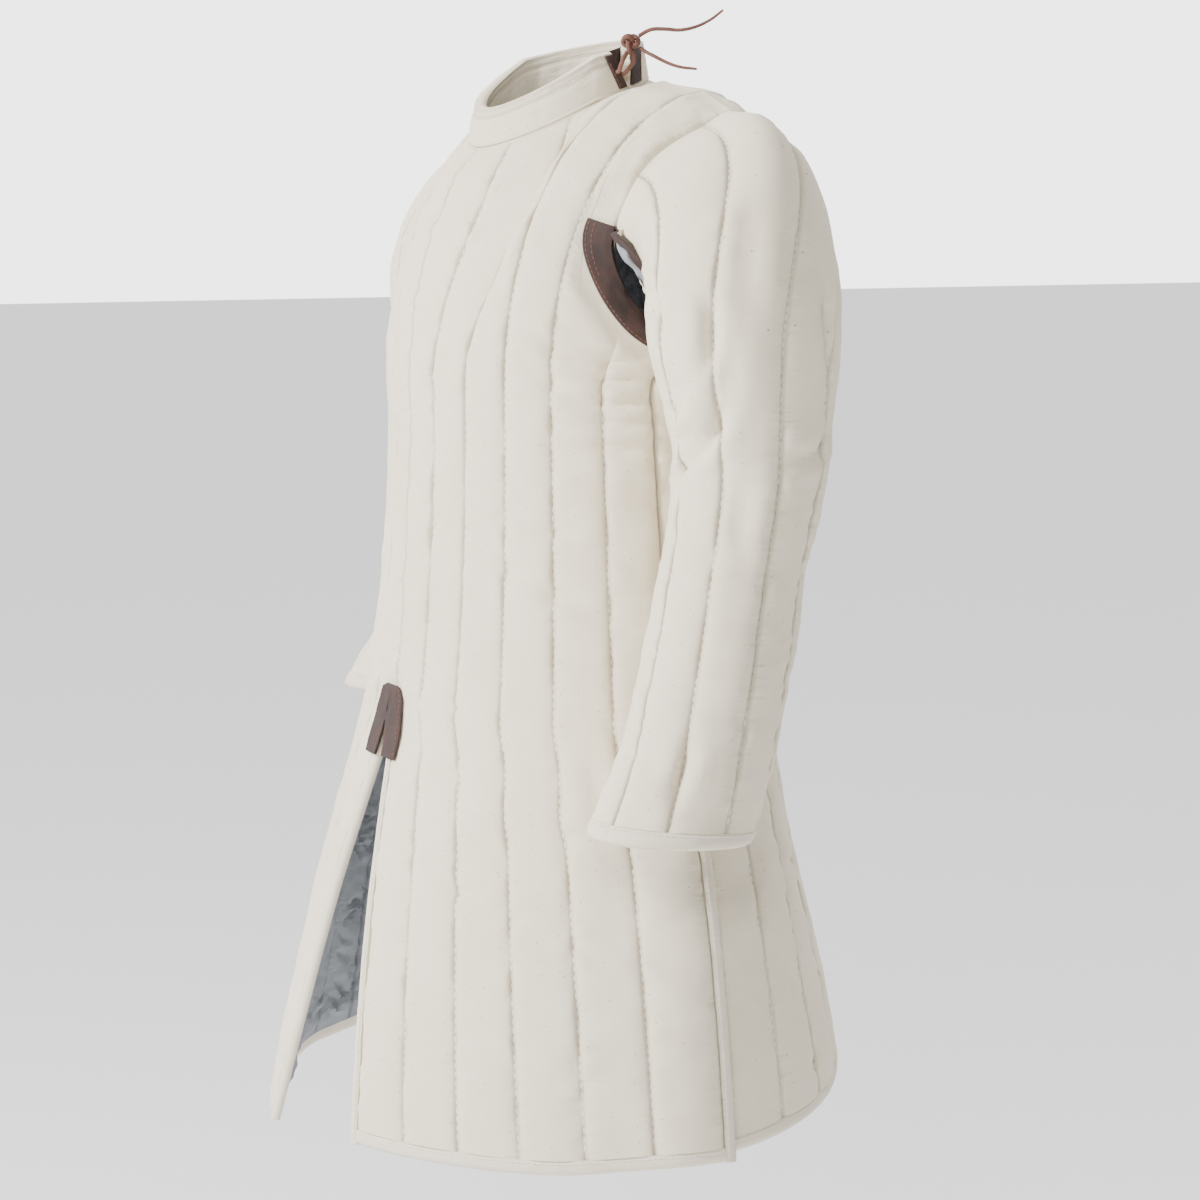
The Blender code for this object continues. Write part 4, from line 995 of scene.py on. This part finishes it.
def sleeve_grid(left):
    """A sleeve's fine grids by name, with its channel places and how open the armpit is at each."""
    name = f"sleeve_{side_name(left)}"
    base_places = np.arange(0.0, SLEEVE_CHANNELS, BASE_STEP)
    steps = np.linspace(0.0, 1.0, 9)[:-1]
    heights = [-0.215, -0.24, -0.27, -0.30, -0.33, -0.36, -0.39, -0.42, -0.45, -0.48, -0.51, -0.54,
               -0.56, CUFF_Z + HEM_STRIP]
    rows = [[] for _ in steps]
    shared, open_at = [], []
    for c in base_places:
        place = float(np.interp(c, SLEEVE_TOP[:, 0], SLEEVE_TOP[:, 1])) % ARM_COUNT
        is_open = opening(place)
        start = armhole(place)
        shared.append(armhole_out(start))
        open_at.append(is_open)
        start = start + is_open * OPENING_DROP
        end = sleeve_point(left, c, heights[0])
        below = sleeve_point(left, c, heights[0] - 0.03)
        span = np.linalg.norm(end - start)
        backward = SLEEVE_BACKWARD * max(0.0, start[1] - ARMHOLE_CENTRE[0]) / 0.08
        way = unit(np.array((1.0, backward, -0.10)) * (1 - is_open)
                   + np.array((0.10, 0.0, -1.0)) * is_open)
        m0 = way * span * (1.30 - 0.60 * is_open)
        m1 = (below - end) / 0.03 * span * (1.15 - 0.40 * is_open)
        for row, t in zip(rows, steps):
            row.append(hermite(start, m0, end, m1, t))
    base = np.array(rows + [[sleeve_point(left, c, z) for c in base_places] for z in heights])
    fine = fine_rows(base)
    places = np.array([c + s for c in range(SLEEVE_CHANNELS) for s in CHANNEL_STEPS])
    points = spline(base, fine)
    wrapped = np.concatenate((points[:, -2:], points, points[:, :3]), axis=1)
    points = np.swapaxes(spline(np.swapaxes(wrapped, 0, 1), places / BASE_STEP + 2), 0, 1)
    wrapped = np.concatenate((points[:, -2:], points, points[:, :2]), axis=1)
    normals = grid_normals(wrapped, wrapped - points.mean(axis=1, keepdims=True))[:, 2:-2]
    towards = np.array(shared + shared[:1])
    is_open = np.array(open_at + open_at[:1])
    at = places / BASE_STEP
    index = np.arange(len(is_open))
    towards = np.stack([np.interp(at, index, towards[:, k]) for k in range(3)], axis=1)
    is_open = np.interp(at, index, is_open)
    near_top = (np.exp(-np.arange(len(points)) / 3.0)[:, None] * (1 - is_open)[None, :])[..., None]
    normals = normals * (1 - near_top) + towards[None] * near_top
    normals /= np.linalg.norm(normals, axis=2, keepdims=True)

    down, u, nearest, seam = channel_grid(points, places, SLEEVE_CHANNELS, True)
    lumps, puckers = padding(down, nearest % SLEEVE_CHANNELS, seam, places, name)
    rise = crown(u)[None, :] * (1.0 + lumps) * CHANNEL_RISE
    fade = smooth(0.0, 0.025, down) * (0.7 + 0.3 * smooth(0.0, 0.03, down[-1:] - down))
    rim = points[0, is_open > 0.3]
    near = np.linalg.norm(points[:, :, None] - rim, axis=3).min(axis=2)
    fade = fade * smooth(*FACING_FLAT, near)
    worn_points = to_side(points, left)
    worn_normals = turned_over(normals, left)
    push = creases(name, worn_points)
    outer = worn_points + worn_normals * (rise * fade + puckers * fade + push)[..., None]
    ropes = lining_ropes(down, places, 5.0) * smooth(0.0, 0.02, down)
    ropes = ropes * smooth(0.0, 0.02, down[-1:] - down)
    inner = worn_points - worn_normals * (SEAM_WALL + ropes - push * 0.6)[..., None]
    uv = np.stack((np.broadcast_to(places * 0.045, down.shape), down), axis=-1)
    return {"outer": outer, "inner": inner, "uv": uv, "seam": seam, "base": worn_points,
            "normals": worn_normals, "places": places, "is_open": is_open, "down": down}


# Stitches
def one_stitch():
    """Points and faces of one stitch along X: a thread thickest in its middle."""
    bpy.ops.mesh.primitive_cylinder_add(vertices=5, radius=0.55, depth=1.0)
    made = bpy.context.object
    bpy.ops.object.mode_set(mode="EDIT")
    bpy.ops.mesh.select_all(action="SELECT")
    bpy.ops.mesh.bisect(plane_co=(0.0, 0.0, 0.0), plane_no=(0.0, 0.0, 1.0))
    bpy.ops.transform.resize(value=(1.8, 1.8, 1.0))
    bpy.ops.mesh.select_all(action="SELECT")
    bpy.ops.mesh.normals_make_consistent(inside=False)
    bpy.ops.object.mode_set(mode="OBJECT")
    points = np.array([(v.co.z, v.co.x, v.co.y) for v in made.data.vertices])
    faces = [tuple(p.vertices) for p in made.data.polygons]
    bpy.data.objects.remove(made, do_unlink=True)
    return points, faces


def sewing(name, rows, finish, size=QUILTING_STITCH):
    """Stitches along rows of points with their outward directions, as one piece."""
    pitch, length, radius = size
    points, faces = one_stitch()
    verts, all_faces, count = [], [], 0
    for path, out in rows:
        run = running_length(path)
        number = int((run[-1] - length) // pitch)
        for k in range(number):
            middle = length / 2 + pitch * (k + 0.5)
            here, ahead, behind = (np.array([np.interp(s, run, path[:, i]) for i in range(3)])
                                   for s in (middle, middle + length / 2, middle - length / 2))
            up = unit([np.interp(middle, run, out[:, i]) for i in range(3)])
            along = unit(ahead - behind)
            across = unit(np.cross(up, along))
            up = np.cross(along, across)
            local = points * np.array((length, radius, radius * 0.8))
            verts.append(here + local[:, :1] * along + local[:, 1:2] * across
                         + (local[:, 2:] + radius * 0.35) * up)
            all_faces += [tuple(i + count for i in face) for face in faces]
            count += len(points)
    return mesh_object(name, np.concatenate(verts), all_faces, [0] * len(all_faces), [finish])


def panels(finishes):
    """The quilted front and back and their stitches."""
    grids = {}
    for name, behind in (("front", False), ("back", True)):
        cloth, rows = Cloth(), []
        for left in (True, False):
            grid = half_panel(behind, left)
            grids[name, left] = grid
            for key in ("outer", "inner"):
                grid[key][:grid["slit"] + 1, 0, 0] = 0.0
            cloth.add(grid["outer"], grid["inner"], grid["uv"], grid["seam"], False,
                      ((-1, 0), (0, grid["slit"])))
            for k in range(HALF_CHANNELS):
                column = int(np.argmin(np.abs(grid["places"] - k)))
                if k == 0 and not left:
                    continue
                first = 2
                last = grid["slit"] - 3 if k == 0 else len(grid["outer"])
                if k == FADING_SEAM:
                    first = grid["arm"] + 14
                shown = np.arange(first, last)
                shown = shown[grid["near"][shown, column] > ARMPIT_FACING + 0.001]
                rows.append((grid["outer"][shown, column], grid["normals"][shown, column]))
        made = cloth.make(f"{name}_quilting", [finishes["canvas"], finishes["lining"]])
        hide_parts(name)
        thread = sewing(f"{name}_stitches", rows, finishes["thread"])
    return grids


def sleeves(finishes):
    """Both quilted sleeves and their stitches."""
    grids = {}
    for left in (True, False):
        side = side_name(left)
        grid = sleeve_grid(left)
        grids[left] = grid
        cloth = Cloth()
        cloth.add(grid["outer"], grid["inner"], grid["uv"], grid["seam"], True, ())
        made = cloth.make(f"sleeve_{side}_quilting", [finishes["canvas"], finishes["lining"]])
        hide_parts(f"sleeve_{side}")
        rows = []
        for k in range(SLEEVE_CHANNELS):
            column = int(np.argmin(np.abs(grid["places"] - k)))
            rows.append((grid["outer"][3:, column], grid["normals"][3:, column]))
        thread = sewing(f"sleeve_{side}_stitches", rows, finishes["thread"])
    return grids


# A binding's section: share of its width, height over the seam line
STRIP_SECTION = ((0.0, 0.0024), (0.12, 0.0030), (0.35, 0.0036), (0.62, 0.0034), (0.86, 0.0022),
                 (0.98, 0.0000), (0.98, -0.0026), (0.86, -0.0044), (0.5, -0.0050), (0.0, -0.0050))


def strip(name, stations, left, closed, finishes, seed):
    """A binding over a cut edge, with its row of stitches; gives the stitches' row."""
    cloth_points, row, out_row = [], [], []
    for k, (p0, p1, out) in enumerate(stations):
        ripple = 1.0 + float(0.09 * noise(k / 2.3 + seed, seed) + 0.06 * noise(k / 7.0, seed))
        cloth_points.append([to_side(p0 + (p1 - p0) * share + out * height
                                     * (ripple if height > 0 else 1.0), left)
                             for share, height in STRIP_SECTION])
        row.append(to_side(p0 + (p1 - p0) * 0.20 + out * 0.0040, left))
        out_row.append(turned_over(out, left))
    points = np.array(cloth_points)
    count, around = points.shape[:2]
    numbers = np.arange(count * around).reshape(count, around)
    ring = np.concatenate((numbers, numbers[:, :1]), axis=1)
    if closed:
        ring = np.concatenate((ring, ring[:1]), axis=0)
    faces = [tuple(face) for face in grid_quads(ring)]
    if not closed:
        faces += [tuple(numbers[0]), tuple(numbers[-1][::-1])]
    run, across = running_length(points[:, 0]), running_length(points[0])
    uv = np.stack(np.broadcast_arrays(across[None, :], run[:, None]), axis=-1).reshape(-1, 2)
    made = mesh_object(f"{name}_binding", points.reshape(-1, 3), faces, [0] * len(faces),
                       [finishes["binding"]], uv, np.full(count * around, NO_SEAM), 60.0)
    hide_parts(name)
    if closed:
        row, out_row = row + row[:1], out_row + out_row[:1]
    return np.array(row), np.array(out_row)


def edge_pair(behind, left, z, at_slit):
    """Inner and outer points of a slit or vent strip at a height."""
    slit, side = body_edges(behind, left, z)
    if at_slit:
        runs, share = (slit + strip_width(SLIT_TOP_Z, z), slit), 0.0
    else:
        runs, share = (side - strip_width(VENT_TOP_Z, z), side), 1.0
    return [body_point(behind, left, run, z, share) for run in runs]


def strips(grids, sleeve_grids, finishes):
    """Bindings of the hems, slits, vents and cuffs."""
    rows, seed = [], 0.0
    for (name, left), grid in grids.items():
        behind = name == "back"
        normals = turned_over(grid["normals"], left)
        tail = f"{name}_{side_name(left)}"
        places = np.linspace(0.0, HALF_CHANNELS, 97)
        hem_out = np.stack([np.interp(places, grid["places"], normals[-1, :, k])
                            for k in range(3)], axis=1)
        hem = [(lower_point(behind, left, c, HEM_Z + HEM_STRIP),
                lower_point(behind, left, c, HEM_Z), unit(out)) for c, out in zip(places, hem_out)]
        rows.append(strip(f"hem_strip_{tail}", hem, left, False, finishes, seed))
        for kind, top, column in (("slit", SLIT_TOP_Z - 0.012, 0),
                                  ("vent", VENT_TOP_Z - 0.006, -1)):
            heights = np.linspace(top, HEM_Z + HEM_STRIP, 76)
            column_z = grid["base"][:, column, 2]
            stations = []
            for z in heights:
                p0, p1 = edge_pair(behind, left, z, kind == "slit")
                nearest = int(np.argmin(np.abs(column_z - p0[2])))
                stations.append((p0, p1, normals[nearest, column]))
            stations.append((*edge_pair(behind, left, HEM_Z, kind == "slit"), normals[-1, column]))
            rows.append(strip(f"{kind}_strip_{tail}", stations, left, False, finishes, seed + 3.3))
        seed += 7.1
    for left, grid in sleeve_grids.items():
        normals = turned_over(grid["normals"], left)
        places = np.linspace(0.0, SLEEVE_CHANNELS, 97)[:-1]
        stations = []
        for c in places:
            nearest = int(np.argmin(np.abs(grid["places"] - c)))
            stations.append((sleeve_point(left, c, CUFF_Z + HEM_STRIP),
                             sleeve_point(left, c, CUFF_Z), normals[-1, nearest]))
        rows.append(strip(f"cuff_strip_{side_name(left)}", stations, left, True, finishes, seed))
        seed += 5.7
    thread = sewing("binding_stitches", rows, finishes["thread"], BINDING_STITCH)


def collar_swell(t):
    """How far the collar's padding stands out at a share of its height, between its rows."""
    first, second = COLLAR_ROWS
    if t > second:
        swell = 0.0010 * float(crown((t - second) / 0.2))
    elif t > first:
        swell = 0.0011 * float(crown((t - first) / (second - first)))
    else:
        swell = 0.0019 * float(crown(t / first))
    return swell - 0.0032 * float(smooth(0.955, 1.0, t))


def collar(finishes):
    """The padded standing collar with its two rows of stitches and the piping at its base."""
    shares = np.concatenate((np.linspace(0.0, 0.96, 25), (0.985, 1.0)))
    outer, inner, uv = [], [], []
    degrees = np.arange(0, 241)
    for t in shares:
        start, stop = notch_edge(NOTCH_BACK, t), 360.0 + notch_edge(NOTCH_FRONT, t)
        around = start + (stop - start) * degrees / 240.0
        swell = collar_swell(t)
        wave = noise(around / 5.5, t * 2.2) * 0.0007 * sin(pi * min(t * 1.05, 1.0))
        ripple = noise(around / 1.6, t * 6.0 + 9.0) * 0.00035 * float(smooth(0.66, 0.74, t))
        outer.append([worn(collar_point(t, d, swell + w)) for d, w in zip(around, wave + ripple)])
        inner.append([worn(collar_point(t, d, -COLLAR_WALL - swell * 0.7 + w))
                      for d, w in zip(around, wave)])
        uv.append(np.stack((around * 0.00135, np.full(len(around), t * COLLAR_TALL)), axis=-1))
    seam = np.min([np.abs(shares - row) for row in COLLAR_ROWS], axis=0)[:, None] * COLLAR_TALL
    cloth = Cloth()
    cloth.add(np.array(outer), np.array(inner), np.array(uv), seam * np.ones((1, 241)), False,
              ((0, 0), (-1, 0)))
    made = cloth.make("collar_canvas", [finishes["canvas"], finishes["canvas"]])
    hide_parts("collar")
    rows = []
    for t in COLLAR_ROWS:
        start, stop = notch_edge(NOTCH_BACK, t), 360.0 + notch_edge(NOTCH_FRONT, t)
        around = np.linspace(start + 1.5, stop - 1.5, 160)
        path = np.array([worn(collar_point(t, d, 0.0003)) for d in around])
        far = np.array([worn(collar_point(t, d, 0.01)) for d in around])
        rows.append((path, far - path))
    thread = sewing("collar_stitches", rows, finishes["thread"], COLLAR_STITCH)
    around = np.linspace(NOTCH_BACK[0], 360.0 + NOTCH_FRONT[0], 200)
    for number, (t, out, radius) in enumerate(((0.035, 0.0006, 0.0017), (-0.06, 0.0012, 0.0012))):
        path = np.array([worn(collar_point(t, d, out)) for d in around])
        tube(f"neck_piping_{number + 1}", path, radius, finishes["binding"])


def tube(name, path, radius, finish, flat=1.0, taper=None):
    """A round or flattened tube along a path, as a closed mesh."""
    sides = 8
    along = np.gradient(path, axis=0)
    along /= np.linalg.norm(along, axis=1, keepdims=True)
    across = np.cross(along, np.array((1.0, 0.02, 0.03)))
    across /= np.linalg.norm(across, axis=1, keepdims=True)
    up = np.cross(across, along)
    sizes = np.full(len(path), radius) * (1.0 if taper is None else taper)
    angle = 2 * pi * np.arange(sides) / sides
    points = (path[:, None] + sizes[:, None, None] * (np.cos(angle)[None, :, None] * across[:, None]
              + flat * np.sin(angle)[None, :, None] * up[:, None]))
    numbers = np.arange(len(path) * sides).reshape(-1, sides)
    ring = np.concatenate((numbers, numbers[:, :1]), axis=1)
    faces = [tuple(face) for face in grid_quads(ring)]
    faces += [tuple(numbers[0]), tuple(numbers[-1][::-1])]
    run = running_length(path)
    uv = np.stack(np.broadcast_arrays((angle * radius)[None, :], run[:, None]), -1).reshape(-1, 2)
    made = mesh_object(name, points.reshape(-1, 3), faces, [0] * len(faces), [finish], uv,
                       np.full(numbers.size, NO_SEAM))
    return made


def rounded_copy(node, finish):
    """A leather node with its edges rounded, in its place."""
    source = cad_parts[node]
    data = source.data.copy()
    made = bpy.data.objects.new(f"{node}_leather", data)
    bpy.context.scene.collection.objects.link(made)
    mesh = bmesh.new()
    mesh.from_mesh(data)
    bmesh.ops.remove_doubles(mesh, verts=mesh.verts, dist=MERGE)
    bmesh.ops.dissolve_limit(mesh, angle_limit=radians(1.0), verts=mesh.verts, edges=mesh.edges)
    mesh.to_mesh(data)
    mesh.free()
    data.materials.clear()
    data.materials.append(finish)
    bevel = made.modifiers.new("rounded", "BEVEL")
    bevel.width = 0.0005
    bevel.segments = 2
    bevel.limit_method = "ANGLE"
    bevel.angle_limit = radians(50.0)
    bpy.context.view_layer.objects.active = made
    made.select_set(True)
    bpy.ops.object.modifier_apply(modifier="rounded")
    bpy.ops.object.shade_smooth_by_angle(angle=radians(45.0))
    made.select_set(False)
    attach(made, "root")
    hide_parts(node)


# Leather's edge turned over the cloth's: distance from the edge over the cloth, height over it
TURNED_UPPER = ((0.008, -0.0088), (-0.0008, -0.0088), (-0.0024, -0.0060), (-0.0026, -0.0010),
                (-0.0012, 0.0020))
TURNED_LOWER = ((0.008, -0.0072), (0.0010, -0.0070), (0.0004, -0.0050), (0.0002, -0.0010),
                (0.0006, 0.0004))


def wrapped_leather(cloth, points, outs, inset):
    """Leather on rows of points that start inset from a cut edge, turned over it to the inside."""
    count, across = points.shape[:2]
    out = outs[:, 0]
    way = points[:, 1] - points[:, 0]
    way -= out * np.sum(way * out, axis=1, keepdims=True)
    way /= np.linalg.norm(way, axis=1, keepdims=True)
    edge = points[:, 0] - way * inset
    wrinkle = noise(np.arange(count)[:, None] / 3.1, np.arange(across)[None, :] / 2.2) * 0.0004
    upper = points + outs * (LEATHER_LIFT + LEATHER + wrinkle)[..., None]
    upper[:, -1] -= outs[:, -1] * 0.0006
    lower = points + outs * (LEATHER_LIFT * 0.6)
    turned, under = ([edge + way * a + out * b for a, b in turn]
                     for turn in (TURNED_UPPER, TURNED_LOWER))
    upper_all = np.concatenate((np.stack(turned, axis=1), upper), axis=1)
    lower_all = np.concatenate((np.stack(under, axis=1), lower), axis=1)
    uv = np.stack(np.broadcast_arrays(np.arange(across + 5)[None, :] * 0.0025,
                                      np.arange(count)[:, None] * 0.004), -1)
    cloth.add(upper_all, lower_all, uv, NO_SEAM, False, ((0, 0), (-1, 0)))
    return upper


def outer_face(grid):
    """A search tree of a grid's outer face."""
    points = grid["outer"]
    rows, columns = points.shape[:2]
    quads = grid_quads(np.arange(rows * columns).reshape(rows, columns))
    return BVHTree.FromPolygons(points.reshape(-1, 3).tolist(), quads.tolist())


def softened(directions, times):
    """Directions of a grid, evened out with their neighbours' along both axes."""
    for _ in range(times):
        for axis in (0, 1):
            first, last = np.take(directions, [0], axis), np.take(directions, [-1], axis)
            padded = np.concatenate((first, directions, last), axis=axis)
            size = directions.shape[axis]
            directions = sum(np.take(padded, range(s, s + size), axis) for s in range(3)) / 3
    return directions / np.linalg.norm(directions, axis=2, keepdims=True)


def laid_band(trees, rim, middle):
    """Points of a band laid on the cloth from a rim, away from its middle, with directions out."""
    shares = np.linspace(0.15, 1.0, 9)
    points, outs = [], []
    for k, (start, along) in enumerate(zip(rim, np.gradient(rim, axis=0))):
        wide = ARMPIT_FACING * (1.0 + 0.25 * float(np.exp(-((k - 2) / 6.0) ** 2)))
        point, way, done = start, unit(start - middle), 0.0
        row, row_out = [], []
        for width in shares * wide:
            target = Vector(point + way * (width - done))
            spot, normal, _, _ = min((tree.find_nearest(target) for tree in trees),
                                     key=lambda hit: hit[3])
            normal = np.array(normal) * np.sign(np.dot(normal.xy, spot.xy))
            if not row:
                across = unit(np.cross(along, normal))
                way = across * np.sign(np.dot(across, way))
            point, done = np.array(spot), width
            way = unit(way - normal * np.dot(way, normal))
            row.append(point)
            row_out.append(normal)
        points.append(row)
        outs.append(row_out)
    return np.array(points), softened(np.array(outs), 4)


def sleeve_lobe(grid):
    """Points of the leather on the sleeve's edge of the opening, with directions out."""
    columns = np.flatnonzero(grid["is_open"] > 0.14)
    widths = 0.0115 * smooth(0.12, 0.50, grid["is_open"][columns]) + 0.003
    run = grid["down"][:, columns]
    points = np.array([[[np.interp(share * wide, run[:, k], grid["base"][:, c, axis])
                         for axis in range(3)] for share in np.linspace(0.08, 1.0, 7)]
                       for k, (c, wide) in enumerate(zip(columns, widths))])
    return points, np.repeat(grid["normals"][4, columns][:, None], 7, axis=1)


def armpit_leather(panel_grids, sleeve_grids, finishes):
    """Leather round each armpit opening, on the body and on the sleeve, with its stitches."""
    rows = []
    for left in (True, False):
        trees = [outer_face(panel_grids[name, left]) for name in ("front", "back")]
        rim = to_side([armhole(float(p)) for p in np.linspace(*FACING_PLACES, 67)], left)
        middle = to_side((0.225, ARMHOLE_CENTRE[0], ARMHOLE_CENTRE[1]), left)
        points, outs = laid_band(trees, rim, middle)
        lobe, lobe_outs = sleeve_lobe(sleeve_grids[left])
        cloth = Cloth()
        upper = wrapped_leather(cloth, points, outs, 0.0030)
        lobe_upper = wrapped_leather(cloth, lobe, lobe_outs, 0.0010)
        node = f"armpit_facing_{side_name(left)}"
        made = cloth.make(f"{node}_leather", [finishes["leather"]] * 2)
        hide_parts(node)
        rows += [(lobe_upper[3:-3, -2], lobe_outs[3:-3, -2]), (upper[:, -2], outs[:, -2]),
                 (upper[:12, -4], outs[:12, -4])]
    thread = sewing("armpit_stitches", rows, finishes["leather_thread"], LEATHER_STITCH)


# Patch over the slit's top: height, half width, then half gaps on the left and on the right
SLIT_PATCH = np.array((
    (-0.5030, 0.0120, 0.0000, 0.0000),
    (-0.5055, 0.0195, 0.0000, 0.0000),
    (-0.5120, 0.0245, 0.0000, 0.0000),
    (-0.5300, 0.0300, 0.0000, 0.0000),
    (-0.5360, 0.0315, 0.0010, 0.0010),
    (-0.5480, 0.0340, 0.0044, 0.0030),
    (-0.5640, 0.0355, 0.0094, 0.0062),
))


def slit_patch(finishes):
    """The patch that holds the top of the slit; gives its rows of stitches."""
    cloth, rows = Cloth(), []
    heights = np.concatenate((np.linspace(-0.5030, -0.5120, 7), np.linspace(-0.5150, -0.5640, 26)))
    first_gap = int(np.argmax(heights < -0.5300))
    for left in (True, False):
        upper, lower = [], []
        for k, z in enumerate(heights):
            wide, gap = (np.interp(-z, -SLIT_PATCH[:, 0], SLIT_PATCH[:, column])
                         for column in (1, 2 if left else 3))
            row_up, row_low = [], []
            for share in (0.0, 0.04, 0.12, 0.3, 0.5, 0.7, 0.86, 0.96, 1.0):
                x = gap + (wide - gap) * share
                at = body_point(False, left, x, z, 0.0)
                at[0] = 0.0 if gap == 0.0 and share == 0.0 else at[0]
                ease = float(0.0010 * smooth(0.93, 1.0, share) + 0.0012 * smooth(2.0, 0.0, k))
                wrinkle = float(noise(k / 3.0, share * 3.0 + 5.0 * left)) * 0.0004
                row_up.append(to_side(at + np.array((0.0, -0.0066 + ease + wrinkle, 0.0)), left))
                row_low.append(to_side(at + np.array((0.0, -0.0044, 0.0)), left))
            upper.append(row_up)
            lower.append(row_low)
        upper, lower = np.array(upper), np.array(lower)
        uv = np.stack(np.broadcast_arrays(np.arange(9)[None, :] * 0.004, heights[:, None]), axis=-1)
        cloth.add(upper, lower, uv, NO_SEAM, False, ((-1, 0), (0, first_gap)))
        edge = upper[1:, -2] * 0.5 + upper[1:, -3] * 0.5
        rows.append((edge, np.broadcast_to((0.0, -1.0, 0.1), edge.shape)))
        inner = upper[first_gap + 4:, 2]
        rows.append((inner, np.broadcast_to((0.0, -1.0, 0.1), inner.shape)))
    made = cloth.make("slit_arch_leather", [finishes["leather"]] * 2)
    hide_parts("slit_arch")
    return rows


def other_leather(finishes):
    """The patch over the slit, the leather of the collar's notch and their stitches."""
    for node in ("collar_facing_front", "collar_facing_back", "collar_underlap"):
        rounded_copy(node, finishes["leather"])
    rows = slit_patch(finishes)
    for edge, offset in ((NOTCH_FRONT, -5.6), (NOTCH_BACK, 11.4)):
        shares = np.linspace(0.10, 0.90, 20)
        path, far = (np.array([worn(collar_point(t, notch_edge(edge, t) + offset, out))
                               for t in shares]) for out in (0.0037, 0.02))
        rows.append((path, far - path))
    thread = sewing("notch_stitches", rows, finishes["leather_thread"], LEATHER_STITCH)


def smooth_route(route, step=0.0012):
    """A route's points on one smooth curve, evenly spaced, and its length."""
    route = np.array(route)
    dense = spline(route, np.linspace(0.0, len(route) - 1, 40 * len(route)))
    run = running_length(dense)
    at = np.linspace(0.0, run[-1], max(4, int(run[-1] / step)))
    return np.stack([np.interp(at, run, dense[:, k]) for k in range(3)], axis=1), float(run[-1])


def thong(finishes):
    """The leather thong: two strands through the collar, a knot of folded bands, two free ends."""
    bands = []
    for route in (STRAND_FRONT, STRAND_BACK):
        bands.append((smooth_route(route)[0], 0.0021, 0.72))
    t = np.linspace(0.0, 2 * pi, 97)
    loop = np.stack((np.sin(3 * t) * 0.0026, (np.sin(t) + 2 * np.sin(2 * t)) * 0.0023,
                     (np.cos(t) - 2 * np.cos(2 * t)) * 0.0027), axis=1)
    bands.append((loop + np.array(KNOT_MIDDLE), 0.0025, 0.75))
    for number, (path, radius, flat) in enumerate(bands):
        tube(f"thong_band_{number + 1}", path, radius, finishes["thong"],
                           flat)
    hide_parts("thong_strand_front")
    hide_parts("thong_strand_back")
    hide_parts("thong_knot")
    for node, route in (("thong_end_upper", END_UPPER), ("thong_end_lower", END_LOWER)):
        path, length = smooth_route(route)
        taper = 1.12 - 0.42 * np.linspace(0.0, 1.0, len(path)) ** 1.5
        made = tube(f"{node}_cord", path, THONG_RADIUS, finishes["thong"], 1.0, taper)
        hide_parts(node)


add_camera()
add_studio()
finishes = make_finishes()
thong(finishes)
panel_grids = panels(finishes)
sleeve_grids = sleeves(finishes)
strips(panel_grids, sleeve_grids, finishes)
collar(finishes)
armpit_leather(panel_grids, sleeve_grids, finishes)
other_leather(finishes)
